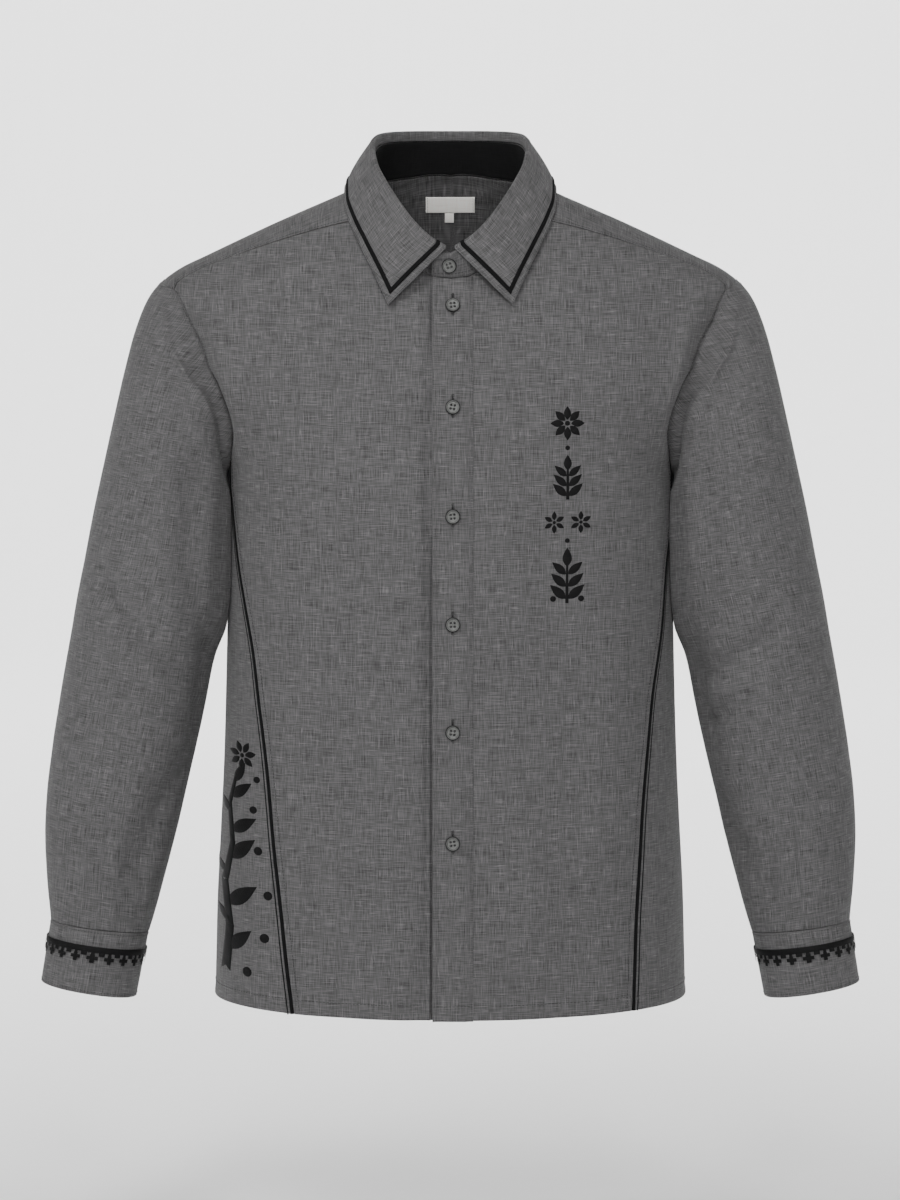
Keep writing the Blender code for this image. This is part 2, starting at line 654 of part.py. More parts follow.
# Placket band on the wearer's left front, lapping over the right front
rows = len(FRONT_HEIGHTS) + 1
band_x = np.array((PLACKET_FROM_X, -0.004, 0.008, 0.0125, 0.0165, PLACKET_TO_X - 0.0002))
band_lift = np.array((1.0, 1.0, 1.0, 0.92, 0.45, 0.10)) * PLACKET_TOP_LIFT
band = np.zeros((rows, len(band_x), 2))
for k, x in enumerate(band_x):
    top_z = monotone(NECKLINE[:7, 1], NECKLINE[:7, 2], abs(x)) - 0.0004
    z = np.append(top_z, FRONT_HEIGHTS)
    band[:, k, 0] = angle_of(np.full(rows, x), z)
    band[:, k, 1] = z
flat = on_trunk(band[..., 0], band[..., 1])
normal = outward(flat)
placket_points = flat + normal * (fold_height(flat) + band_lift[None, :])[..., None]
wall("button_placket", "linen", placket_points, normal, CLOTH)


def fold_point(angle):
    """Fold of the collar at an angle round the neck, with its roll height and outward way."""
    turn = (np.asarray(angle, float) + 180) % 360 - 180
    size = np.abs(turn)
    x, y, z, roll = [monotone(FOLD[:, 0], FOLD[:, k], size) for k in (1, 2, 3, 4)]
    place = np.stack((np.sign(turn) * x, y, z), axis=-1)
    way = np.stack((place[..., 0] / 0.072 ** 2, (y + 0.010) / 0.074 ** 2, 0 * x), axis=-1)
    way = way / np.linalg.norm(way, axis=-1, keepdims=True)
    return place, roll, way


def neck_inward(angle):
    """Way along the trunk surface from the neckline into the neck opening."""
    here = neck_point(angle)
    tangent = neck_point(np.asarray(angle) + 0.5) - neck_point(np.asarray(angle) - 0.5)
    way = np.cross(tangent, outward(here))
    way = way / np.linalg.norm(way, axis=-1, keepdims=True)
    flip = np.where(way[..., 2] < 0, -1.0, 1.0)
    return way * flip[..., None]


def stand_grid(cols, rows, inset, low=0.0, high=0.0):
    """Points of the stand from the end on top, round the neck, to the end beneath."""
    angles = cols
    cols = len(angles)
    base = neck_point(angles) + neck_inward(angles) * 0.0016
    top, roll, way = fold_point(angles)
    top = top - way * ROLL_RADIUS
    top[:, 2] -= roll + 0.0010
    lap = np.zeros(cols)
    start = np.clip((32 - angles) / 26, 0, 1)
    end = np.clip((angles - 330) / 26, 0, 1)
    lap += start * start * (3 - 2 * start) * LAP_HALF_STEP
    lap -= end * end * (3 - 2 * end) * LAP_HALF_STEP
    height = np.ones(cols)
    for k, angle in enumerate(angles):
        past = 4.0 - angle if angle < 90 else angle - 358.0
        if past > 0:
            height[k] = 1 - 0.42 * min(past / 16.0, 1) ** 2
    v = np.linspace(low, 1 - high, rows)[:, None, None]
    grid = base[None] * (1 - v * height[None, :, None]) + top[None] * v * height[None, :, None]
    grid = grid + way[None] * (lap - inset)[None, :, None]
    return grid


NECK_AXIS = np.array((0.0, -0.010, -0.02))
STAND_ANGLES = np.concatenate((
    np.array((STAND_START_ANGLE, -10.0, -6.0, -1.5)),
    FOLD_ANGLES,
    360 - FOLD_ANGLES[-2::-1],
    np.array((362.0, STAND_END_ANGLE)),
))
stand = stand_grid(STAND_ANGLES, 4, 0.0)
wall("collar_stand", "linen", stand, grid_normals(stand, away_from=NECK_AXIS), CLOTH)
facing = stand_grid(STAND_ANGLES, 4, CLOTH / 2 + 0.0005 + FACING / 2, low=0.05, high=0.03)
wall("collar_stand_facing", "black_trim", facing, grid_normals(facing, away_from=NECK_AXIS), FACING)

# Collar fall
fall_f = np.linspace(0, 1, FALL_HALF + 1)
fold_angles = FOLD_ANGLES
edge_half = path(FALL_EDGE, fall_f)


def fall_column(angle, edge, side):
    """Section of the fall from the top of the stand over the roll to the outer edge."""
    place, roll, way = fold_point(angle)
    down = np.array((0.0, 0.0, -1.0))
    r = ROLL_RADIUS
    pts = [
        place - way * r + down * roll,
        place - way * r + down * (r + (roll - r) * 0.4),
        place - way * r * 0.72 + down * r * 0.30,
        place.copy(),
        place + way * r * 0.72 + down * r * 0.30,
    ]
    start = place + way * r * 1.15 + down * r * 1.2
    for t in np.linspace(0, 1, 5):
        bulge = way * 0.0022 * np.sin(np.pi * t)
        pts.append(start * (1 - t) + edge * t + bulge)
    return np.array(pts)


columns = []
for side in (-1, 1):
    order = range(FALL_HALF + 1) if side < 0 else range(FALL_HALF - 1, -1, -1)
    for k in order:
        edge = edge_half[k] * np.array((side, 1, 1))
        columns.append(fall_column(side * fold_angles[k], edge, side))
fall = np.stack(columns, axis=1)
fall_normals = grid_normals(fall)
if fall_normals[-1, FALL_HALF][1] < 0:
    fall_normals = -fall_normals
wall("collar", "linen", fall, fall_normals, CLOTH)

# Flat tape on the fall, inset from its free edges
flat_part = fall[5:]
flat_normals = fall_normals[5:]


def fall_at(row, col):
    """Point and normal of the fall between its grid points."""
    r0 = int(min(max(np.floor(row), 0), flat_part.shape[0] - 2))
    c0 = int(min(max(np.floor(col), 0), flat_part.shape[1] - 2))
    a = row - r0
    b = col - c0
    weights = ((r0, c0, (1 - a) * (1 - b)), (r0 + 1, c0, a * (1 - b)),
               (r0, c0 + 1, (1 - a) * b), (r0 + 1, c0 + 1, a * b))
    p = sum(flat_part[r, c] * w for r, c, w in weights)
    n = sum(flat_normals[r, c] * w for r, c, w in weights)
    return p, n / np.linalg.norm(n)


def inset_row(col, inset):
    """Row position lying an inset up from the outer edge at a column."""
    c0 = int(min(np.floor(col), flat_part.shape[1] - 2))
    b = col - c0
    line = flat_part[:, c0] * (1 - b) + flat_part[:, c0 + 1] * b
    run = np.concatenate(([0], np.cumsum(np.linalg.norm(np.diff(line, axis=0), axis=1))))
    return np.interp(run[-1] - inset, run, np.arange(len(run)))


def inset_col(row, inset, from_end=False):
    """Column position lying an inset in from the front edge at a row."""
    r0 = int(min(np.floor(row), flat_part.shape[0] - 2))
    a = row - r0
    line = flat_part[r0] * (1 - a) + flat_part[r0 + 1] * a
    if from_end:
        line = line[::-1]
    run = np.concatenate(([0], np.cumsum(np.linalg.norm(np.diff(line, axis=0), axis=1))))
    place = np.interp(inset, run, np.arange(len(run)))
    return flat_part.shape[1] - 1 - place if from_end else place


def tape_rail(inset):
    """Line round the fall at an inset from its edge, as points and normals."""
    rail = []
    corner_row = flat_part.shape[0] - 1.0
    for _ in range(12):
        corner_col = inset_col(corner_row, inset)
        corner_row = inset_row(corner_col, inset)
    for row in (0.02, 1.0, 2.0, 3.0, corner_row):
        rail.append((row, inset_col(row, inset)))
    far_row = flat_part.shape[0] - 1.0
    for _ in range(12):
        far_col = inset_col(far_row, inset, True)
        far_row = inset_row(far_col, inset)
    for col in range(2, flat_part.shape[1] - 2):
        rail.append((inset_row(col, inset), float(col)))
    for row in (far_row, 3.0, 2.0, 1.0, 0.02):
        rail.append((row, inset_col(row, inset, True)))
    return rail


outer_rail = tape_rail(TAPE_INSET)
inner_rail = tape_rail(TAPE_INSET + TAPE_WIDTH)
tape_points = np.zeros((len(outer_rail), 2, 3))
tape_normals = np.zeros((len(outer_rail), 2, 3))
tape_lift = CLOTH / 2 + 0.0005 + TAPE / 2
for k, (a, b) in enumerate(zip(outer_rail, inner_rail)):
    for j, spot in enumerate((a, b)):
        p, n = fall_at(*spot)
        tape_points[k, j] = p + n * tape_lift
        tape_normals[k, j] = n
wall("collar_tape", "black_trim", tape_points, tape_normals, TAPE)


def armhole_loop(theta):
    """Armhole point, normal and hollow: 0 degrees at the shoulder tip, 90 in front, 180 under the arm."""
    theta = np.asarray(theta, float) % 360
    f = np.where(theta <= 180, theta, 360 - theta) / 180
    front = path(ARMHOLE_FRONT, f, ANGLE_SCALE)
    back = path(ARMHOLE_BACK, f, ANGLE_SCALE)
    pf = on_trunk(front[..., 0], front[..., 1])
    pb = on_trunk(180 - back[..., 0], back[..., 1])
    loop = np.where((theta <= 180)[..., None], pf, pb)
    place, normal = worn(loop)
    return place, normal, -hollow_at(loop[..., 2], 1), hollow_at(loop[..., 2], 3)


def ring(theta, outer_x, outer_z, inner_x, inner_z, half_depth, forward, power=2.15):
    """Rounded ring between an outer and an inner point."""
    t = np.radians(theta)
    c = np.sign(np.cos(t)) * np.abs(np.cos(t)) ** (2 / power)
    s = np.sign(np.sin(t)) * np.abs(np.sin(t)) ** (2 / power)
    x = (outer_x + inner_x) / 2 + (outer_x - inner_x) / 2 * c
    z = (outer_z + inner_z) / 2 + (outer_z - inner_z) / 2 * c
    y = forward - half_depth * s
    return np.stack((x, y, z), axis=-1)


SLEEVE_AT = np.arange(len(SLEEVE), dtype=float)


def beside(points, gap):
    """Sleeve points kept clear of the trunk's side, where the arm rests on it."""
    x, y, z = points[..., 0], points[..., 1], points[..., 2]
    width, front, back, power = section(np.minimum(z, UNDERARM_Z))
    share = np.clip(np.abs(y) / np.where(y < 0, front, back), 0, 0.98)
    side = width * (1 - share ** power) ** (1 / power) + gap - np.maximum(z - UNDERARM_Z, 0) * 3
    over = x - side
    x = side + (over + np.sqrt(over * over + 0.002 ** 2)) / 2
    return np.stack((x, y, z), axis=-1)


def sleeve_point(theta, s, gap=SLEEVE_BODY_GAP):
    """Sleeve point of the wearer's left arm at an angle and a ring position."""
    row = [monotone(SLEEVE_AT, SLEEVE[:, k], s) for k in range(7)]
    t = np.radians(theta)
    loop, normal, drop, reach = armhole_loop(theta)
    near = (1 + np.cos(t)) / 2
    clear = 0.0013 + 0.0008 * near ** 2 + 0.0010 * (1 - near) ** 6
    shift_x = (row[0] - SLEEVE[0, 0]) * near + (row[2] - SLEEVE[0, 2]) * (1 - near)
    shift_z = (row[1] - SLEEVE[0, 1]) * near + (row[3] - SLEEVE[0, 3]) * (1 - near)
    shift_y = row[5] + 0 * shift_x
    start = loop - normal * drop[..., None] + np.stack((clear + shift_x, shift_y, shift_z), axis=-1)
    full = start * (1 - row[6]) + ring(theta, *row[:6]) * row[6]
    left = ease(1 - np.hypot(shift_x, shift_z) / reach)
    full = full + normal * (drop * left)[..., None]
    return full + (beside(full, gap) - full) * np.clip(s, 0, 1)


# Sleeves, sleeve plackets and cuffs
AROUND = 28
theta = np.arange(AROUND) * 360.0 / AROUND
for side in (1, -1):
    word = "left" if side > 0 else "right"
    flip = np.array((side, 1.0, 1.0))
    stations = np.array((
        0.0, 0.5, 1.0, 1.6, 2.3, 3.1, 4.0, 5.0, 6.0, 7.0, 8.0, 9.1, 10.2, 11.3, 12.4, 13.4, 14.3, 15.2, 16.0))
    grid = np.stack([sleeve_point(theta, s) for s in stations])
    middle = grid.mean(axis=1, keepdims=True)
    normals = grid_normals(grid, wrap=True)
    if np.sum(normals * (grid - middle)) < 0:
        normals = -normals
    wall("sleeve_" + word, "linen", grid * flip, normals * flip, CLOTH, wrap=True)

    # Placket strip on the back of the sleeve above the cuff
    reach = np.linspace(12.75, 15.93, 8)
    wide = np.linspace(-1, 1, 4) * SLEEVE_PLACKET_WIDTH / 2
    strip = np.zeros((len(reach), len(wide), 3))
    strip_n = np.zeros_like(strip)
    for i, s in enumerate(reach):
        for j, w in enumerate(wide):
            turn = 278.0 + np.degrees(w / 0.048)
            p = sleeve_point(np.array([turn]), s)[0]
            a = sleeve_point(np.array([turn + 1]), s)[0] - p
            b = sleeve_point(np.array([turn]), s + 0.02 if s < 15.95 else s - 0.02)[0] - p
            if s >= 15.95:
                b = -b
            n = np.cross(a, b)
            n = n / np.linalg.norm(n)
            if n[1] < 0:
                n = -n
            strip[i, j] = p + n * (CLOTH + LIE_GAP + 0.0002)
            strip_n[i, j] = n
    wall("sleeve_placket_" + word, "linen", strip * flip, strip_n * flip, CLOTH)

    # Cuff band, its ends lapping at the back
    turns = np.linspace(262.0, 262.0 + 360.0 + 34.0, 25)
    rows = 3
    cuff = np.zeros((rows, len(turns), 3))
    cuff_n = np.zeros_like(cuff)
    start = np.clip((turns[0] + 62 - turns) / 26, 0, 1)
    end = np.clip((turns - turns[-1] + 62) / 26, 0, 1)
    lap = (start * start * (3 - 2 * start) - end * end * (3 - 2 * end)) * 0.0011
    for i, v in enumerate(np.linspace(0, 1, rows)):
        sizes = [a * (1 - v) + b * v for a, b in zip(CUFF_TOP, CUFF_HEM)]
        cuff[i] = ring(turns, *sizes)
    n = grid_normals(cuff)
    if np.sum(n * (cuff - cuff.mean(axis=1, keepdims=True))) < 0:
        n = -n
    cuff = cuff + n * lap[None, :, None]
    cuff[0, :, 2] -= 0.0004
    wall("cuff_" + word, "linen", cuff * flip, n * flip, CLOTH)


def button(name, place, normal, radius, depth):
    """Round button with a raised rim and four holes through it."""
    normal = np.asarray(normal, float)
    side_way = np.cross((0.0, 0.0, 1.0), normal)
    side_way = side_way / np.linalg.norm(side_way)
    up_way = np.cross(normal, side_way)
    around = 14
    hole_sides = 5
    flat_r = radius * 0.68
    hole_r = radius * 0.115
    hole_at = radius * 0.235
    profile = (
        (flat_r, -depth / 2),
        (radius * 0.92, -depth / 2),
        (radius, -depth * 0.10),
        (radius * 0.93, depth / 2),
        (radius * 0.80, depth / 2),
        (flat_r, depth * 0.22),
    )
    ring_angles = np.arange(around) * 2 * np.pi / around
    flat = []
    for r, h in profile:
        for a in ring_angles:
            flat.append((r * np.cos(a), r * np.sin(a), h))
    faces = []
    for k in range(len(profile) - 1):
        for j in range(around):
            a = k * around + j
            b = k * around + (j + 1) % around
            faces.append((a, b, b + around, a + around))
    first_hole = len(flat)
    for level in (-depth / 2, depth * 0.22):
        for sx, sy in ((1, 1), (-1, 1), (-1, -1), (1, -1)):
            for j in range(hole_sides):
                a = j * 2 * np.pi / hole_sides
                flat.append((hole_at * sx + hole_r * np.cos(a), hole_at * sy + hole_r * np.sin(a), level))
    per_level = 4 * hole_sides
    for hole in range(4):
        for j in range(hole_sides):
            a = first_hole + hole * hole_sides + j
            b = first_hole + hole * hole_sides + (j + 1) % hole_sides
            faces.append((a, a + per_level, b + per_level, b))
    for level in (0, 1):
        rim = 0 if level == 0 else (len(profile) - 1) * around
        loops = [list(range(rim, rim + around))]
        for hole in range(4):
            base = first_hole + level * per_level + hole * hole_sides
            loops.append(list(range(base, base + hole_sides)))
        order = [k for loop in loops for k in loop]
        shapes = [[Vector((flat[k][0], flat[k][1], 0.0)) for k in loop] for loop in loops]
        for tri in tessellate_polygon(shapes):
            faces.append(tuple(order[k] for k in tri))
    verts = [tuple(np.asarray(place) + side_way * x + up_way * y + normal * h) for x, y, h in flat]
    return add_object(name, "button_grey", verts, faces)


def placket_spot(x, z, extra):
    """Place and normal above the placket's outer face."""
    angle = angle_of(np.array([x]), np.array([z]))
    p = on_trunk(angle, np.array([z]))
    n = outward(p)
    p = p + n * (fold_height(p) + PLACKET_TOP_LIFT + CLOTH / 2 + extra)[..., None]
    return p[0], n[0]


stand_front = stand_grid(np.linspace(STAND_START_ANGLE, 32, 61), 9, 0.0)
stand_face = grid_normals(stand_front, away_from=NECK_AXIS)
near = np.argmin(np.abs(stand_front[4, :, 0] + 0.0004))
spot = stand_front[4, near]
face = stand_face[4, near]
button("button_0", spot + face * (CLOTH / 2 + 0.0006 + BUTTON_DEPTH / 2), face,
       BUTTON_RADIUS, BUTTON_DEPTH)
for k, z in enumerate(BUTTON_HEIGHTS):
    spot, face = placket_spot(BUTTON_X, z, LIE_GAP + BUTTON_DEPTH / 2)
    button("button_" + str(k + 1), spot, face, BUTTON_RADIUS, BUTTON_DEPTH)

for side in (1, -1):
    word = "left" if side > 0 else "right"
    sizes = [(a + b) / 2 for a, b in zip(CUFF_TOP, CUFF_HEM)]
    turn = np.array((276.0,))
    p = ring(turn, *sizes)[0]
    a = ring(turn + 1, *sizes)[0] - p
    low = ring(turn, *CUFF_HEM)[0]
    top = ring(turn, *CUFF_TOP)[0]
    n = np.cross(a, low - top)
    n = n / np.linalg.norm(n)
    if n[1] < 0:
        n = -n
    p = p + n * (0.0011 + CLOTH / 2 + 0.0009 + BUTTON_DEPTH / 2)
    flip = np.array((side, 1.0, 1.0))
    button("cuff_button_" + word, p * flip, n * flip, CUFF_BUTTON_RADIUS, BUTTON_DEPTH)

# Bare label and size tab on the inside of the yoke behind
for name, x0, x1, z0, z1, cols in (("neck_label", -0.0224, 0.0222, -0.0018, -0.0160, 8),
                                   ("size_tab", -0.0050, 0.0032, -0.0164, -0.0250, 3)):
    xs = np.linspace(x0, x1, cols)
    zs = np.linspace(z0, z1, 3)
    grid_x, grid_z = np.meshgrid(xs, zs)
    width, _, back, power = section(grid_z)
    grid_y = back * (1 - (np.abs(grid_x) / width) ** power) ** (1 / power)
    flat = np.stack((grid_x, grid_y, grid_z), axis=-1)
    normal = outward(flat)
    lift = -(CLOTH / 2 + LIE_GAP + LABEL / 2)
    wall(name, "label_cream", flat + normal * (fold_height(flat) + lift)[..., None], normal, LABEL)
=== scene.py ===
"""Looks of a long-sleeved embroidered linen shirt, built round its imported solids."""

from math import radians

import bmesh
import bpy
import numpy as np
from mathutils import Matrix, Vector
from mathutils.geometry import tessellate_polygon


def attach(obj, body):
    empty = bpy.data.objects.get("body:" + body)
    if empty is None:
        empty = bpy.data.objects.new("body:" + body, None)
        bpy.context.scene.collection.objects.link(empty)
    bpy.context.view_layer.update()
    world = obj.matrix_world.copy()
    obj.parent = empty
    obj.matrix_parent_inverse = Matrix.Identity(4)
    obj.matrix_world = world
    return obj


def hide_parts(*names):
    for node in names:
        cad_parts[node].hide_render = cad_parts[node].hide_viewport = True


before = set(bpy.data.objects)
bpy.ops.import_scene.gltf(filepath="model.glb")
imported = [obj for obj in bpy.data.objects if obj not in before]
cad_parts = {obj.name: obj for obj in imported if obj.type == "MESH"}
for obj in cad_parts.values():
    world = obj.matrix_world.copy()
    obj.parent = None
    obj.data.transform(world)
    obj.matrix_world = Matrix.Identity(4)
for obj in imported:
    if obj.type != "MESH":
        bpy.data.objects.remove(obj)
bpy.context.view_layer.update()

# Driving sizes, metres
CLOTH = 0.0015
FACING = 0.0010
PIPING_WIDTH = 0.0036
UNDERARM_Z = -0.245
HEM_FRONT_Z = -0.7227
HEM_SIDE_Z = -0.7180
PLACKET_FROM_X = -0.0156
PLACKET_TO_X = 0.0195
UNDERLAP_TO_X = 0.0095
PLACKET_TOP_LIFT = CLOTH + 0.0007
YOKE_BACK_Z = -0.086
# Where the yoke's front seam meets the neckline, degrees round the neck
NECK_YOKE_ANGLE = 3.0 + 177.0 * 5 / 17
STAND_START_ANGLE = -12.6
STAND_END_ANGLE = 367.0
LAP_HALF_STEP = 0.0018
ROLL_RADIUS = 0.0019
TAPE_INSET = 0.0060
TAPE_WIDTH = 0.0034
BUTTON_RADIUS = 0.0066
BUTTON_DEPTH = 0.0026
BUTTON_X = 0.0021
BUTTON_HEIGHTS = (-0.0972, -0.1845, -0.2791, -0.3735, -0.4682, -0.5658)
CUFF_BUTTON_RADIUS = 0.0058
SLEEVE_PLACKET_WIDTH = 0.022

# Trunk sections: height, half width, depth in front, depth behind, power of the rounding
TRUNK = np.array((
    (-0.7300, 0.2123, 0.1370, 0.1220, 2.30),
    (-0.6340, 0.2097, 0.1355, 0.1190, 2.30),
    (-0.5000, 0.2032, 0.1325, 0.1130, 2.30),
    (-0.3640, 0.1996, 0.1300, 0.1120, 2.30),
    (-0.2900, 0.1985, 0.1275, 0.1160, 2.30),
    (-0.2450, 0.1985, 0.1250, 0.1200, 2.30),
    (-0.2210, 0.2090, 0.1215, 0.1200, 2.25),
    (-0.1960, 0.2290, 0.1180, 0.1195, 2.20),
    (-0.1700, 0.2520, 0.1130, 0.1190, 2.15),
    (-0.1500, 0.2620, 0.1075, 0.1180, 2.10),
    (-0.1200, 0.2640, 0.0980, 0.1130, 2.05),
    (-0.0950, 0.2610, 0.0880, 0.1060, 2.00),
    (-0.0780, 0.2570, 0.0795, 0.1000, 2.00),
    (-0.0710, 0.2490, 0.0765, 0.0975, 2.00),
    (-0.0640, 0.2380, 0.0735, 0.0950, 2.00),
    (-0.0550, 0.2190, 0.0695, 0.0915, 2.00),
    (-0.0400, 0.1875, 0.0625, 0.0848, 2.00),
    (-0.0240, 0.1530, 0.0552, 0.0765, 2.00),
    (-0.0090, 0.1185, 0.0485, 0.0680, 2.00),
    (0.0010, 0.0956, 0.0445, 0.0625, 2.00),
    (0.0090, 0.0780, 0.0415, 0.0598, 2.00),
    (0.0120, 0.0745, 0.0400, 0.0580, 2.00),
    (0.0200, 0.0660, 0.0370, 0.0520, 2.00),
    (0.0350, 0.0600, 0.0310, 0.0460, 2.00),
))

# Armhole in front: degrees round the trunk from the front centre, height
ARMHOLE_FRONT = np.array((
    (90.0, -0.0780),
    (72.2, -0.0845),
    (63.7, -0.1080),
    (57.9, -0.1346),
    (56.2, -0.1646),
    (60.0, -0.1896),
    (67.8, -0.2151),
    (78.0, -0.2340),
    (90.0, UNDERARM_Z),
))

# Armhole behind: degrees round the trunk from the back centre, height
ARMHOLE_BACK = np.array((
    (90.0, -0.0780),
    (76.0, YOKE_BACK_Z),
    (66.0, -0.1120),
    (59.0, -0.1400),
    (56.5, -0.1700),
    (61.0, -0.1960),
    (71.0, -0.2210),
    (79.5, -0.2360),
    (90.0, UNDERARM_Z),
))

# Slanting front seams: distance from the middle, height
PIPED_SEAM_RIGHT = np.array((
    (0.1952, -0.2532),
    (0.1931, -0.2777),
    (0.1890, -0.3144),
    (0.1811, -0.3630),
    (0.1733, -0.4056),
    (0.1682, -0.4449),
    (0.1636, -0.4800),
    (0.1392, HEM_FRONT_Z),
))
PIPED_SEAM_LEFT = np.array((
    (0.1968, -0.2550),
    (0.1962, -0.2848),
    (0.1920, -0.3225),
    (0.1879, -0.3755),
    (0.1781, -0.4461),
    (0.1653, -0.6220),
    (0.1619, HEM_FRONT_Z),
))

# Neckline seam: degrees round the neck from the front, distance from the middle, height
NECKLINE = np.array((
    (0.0, 0.0000, -0.0735),
    (12.0, 0.0155, -0.0715),
    (28.0, 0.0350, -0.0560),
    (40.5, 0.0507, -0.0385),
    (56.7, 0.0654, -0.0170),
    (72.0, 0.0742, -0.0020),
    (90.0, 0.0780, 0.0090),
))
# The neckline behind: degrees round the neck, distance from the middle, backward
NECKLINE_BACK = np.array((
    (90.0, 0.0780, 0.0000),
    (107.0, 0.0745, 0.0170),
    (130.0, 0.0598, 0.0365),
    (155.0, 0.0330, 0.0500),
    (180.0, 0.0000, 0.0552),
))

# Fold of the collar: degrees round the neck, distance from the middle, forward, up, roll height
FOLD = np.array((
    (0.0, 0.0000, -0.0825, -0.0460, 0.0030),
    (12.0, 0.0155, -0.0815, -0.0375, 0.0032),
    (28.0, 0.0330, -0.0745, -0.0215, 0.0040),
    (40.5, 0.0455, -0.0635, -0.0055, 0.0050),
    (56.7, 0.0585, -0.0465, 0.0140, 0.0060),
    (72.0, 0.0665, -0.0270, 0.0290, 0.0070),
    (90.0, 0.0700, -0.0030, 0.0450, 0.0080),
    (115.0, 0.0635, 0.0250, 0.0540, 0.0085),
    (140.0, 0.0450, 0.0480, 0.0563, 0.0085),
    (160.0, 0.0240, 0.0590, 0.0567, 0.0085),
    (180.0, 0.0000, 0.0630, 0.0567, 0.0085),
))

# Outer edge of the collar fall from the point to the back: beside, forward, up
FALL_EDGE = np.array((
    (0.0545, -0.0915, -0.0955),
    (0.0665, -0.0795, -0.0700),
    (0.0795, -0.0640, -0.0440),
    (0.0885, -0.0498, -0.0255),
    (0.0942, -0.0310, -0.0080),
    (0.0940, -0.0050, 0.0070),
    (0.0870, 0.0260, 0.0085),
    (0.0680, 0.0540, 0.0085),
    (0.0370, 0.0700, 0.0080),
    (0.0000, 0.0750, 0.0080),
))

# Sleeve rings: outer beside, outer up, inner beside, inner up, half depth, forward shift, blend
SLEEVE = np.array((
    (0.2570, -0.0780, 0.1985, -0.2450, 0.0610, 0.0000, 0.00),
    (0.2655, -0.0890, 0.2000, -0.2510, 0.0620, 0.0000, 0.10),
    (0.2739, -0.1048, 0.1975, -0.2608, 0.0630, -0.0020, 0.30),
    (0.2826, -0.1275, 0.1920, -0.2755, 0.0640, -0.0060, 0.55),
    (0.2898, -0.1550, 0.1900, -0.2960, 0.0640, -0.0110, 0.80),
    (0.2979, -0.1886, 0.1915, -0.3226, 0.0635, -0.0160, 1.00),
    (0.3072, -0.2283, 0.1930, -0.3503, 0.0630, -0.0190, 1.00),
    (0.3171, -0.2743, 0.1985, -0.3793, 0.0615, -0.0200, 1.00),
    (0.3256, -0.3183, 0.2111, -0.4113, 0.0600, -0.0200, 1.00),
    (0.3347, -0.3634, 0.2186, -0.4464, 0.0585, -0.0200, 1.00),
    (0.3418, -0.4036, 0.2262, -0.4826, 0.0570, -0.0195, 1.00),
    (0.3495, -0.4489, 0.2348, -0.5209, 0.0550, -0.0190, 1.00),
    (0.3569, -0.4931, 0.2424, -0.5521, 0.0530, -0.0185, 1.00),
    (0.3619, -0.5343, 0.2491, -0.5783, 0.0505, -0.0180, 1.00),
    (0.3636, -0.5745, 0.2557, -0.6045, 0.0475, -0.0175, 1.00),
    (0.3626, -0.6117, 0.2633, -0.6317, 0.0435, -0.0170, 1.00),
    (0.3594, -0.6490, 0.2722, -0.6600, 0.0390, -0.0160, 1.00),
))
CUFF_TOP = (0.3594, -0.6495, 0.2725, -0.6605, 0.0385, -0.016)
CUFF_HEM = (0.3683, -0.7050, 0.2838, -0.7190, 0.0395, -0.019)

# Folds of the trunk, alike on both sides of its middle: beside and up at one end, then at the other,
# half width, height (below zero for a trough)
FRONT_FOLDS = (
    (0.1500, -0.2300, 0.1350, -0.5600, 0.0300, 0.0030),
    (0.0900, -0.3500, 0.0950, -0.7200, 0.0260, -0.0028),
)
BACK_FOLDS = (
    (0.0750, -0.1500, 0.0850, -0.7000, 0.0280, 0.0035),
    (0.0000, -0.2500, 0.0000, -0.7000, 0.0280, -0.0030),
    (0.1500, -0.3000, 0.1450, -0.7000, 0.0260, -0.0030),
)

# Hollow along the armhole seam: height, depth at the seam, reach on the body, reach on the sleeve
ARMHOLE_HOLLOW = np.array((
    (-0.2450, 0.0000, 0.0070, 0.0080),
    (-0.2350, 0.0030, 0.0080, 0.0100),
    (-0.2200, 0.0078, 0.0100, 0.0120),
    (-0.2000, 0.0142, 0.0130, 0.0150),
    (-0.1700, 0.0138, 0.0175, 0.0190),
    (-0.1400, 0.0104, 0.0205, 0.0210),
    (-0.1150, 0.0064, 0.0200, 0.0200),
    (-0.0950, 0.0024, 0.0160, 0.0160),
    (-0.0780, 0.0000, 0.0120, 0.0120),
))
SLEEVE_BODY_GAP = 0.0026

def unit(vectors):
    """Vectors scaled to a length of one."""
    return vectors / np.linalg.norm(vectors, axis=-1, keepdims=True)


def soft(share):
    """Slope from 0 to 1 with a soft start and a soft end."""
    return share * share * (3 - 2 * share)


def join(*parts):
    """Points from the arrays of their coordinates."""
    return np.stack(np.broadcast_arrays(*parts), axis=-1)


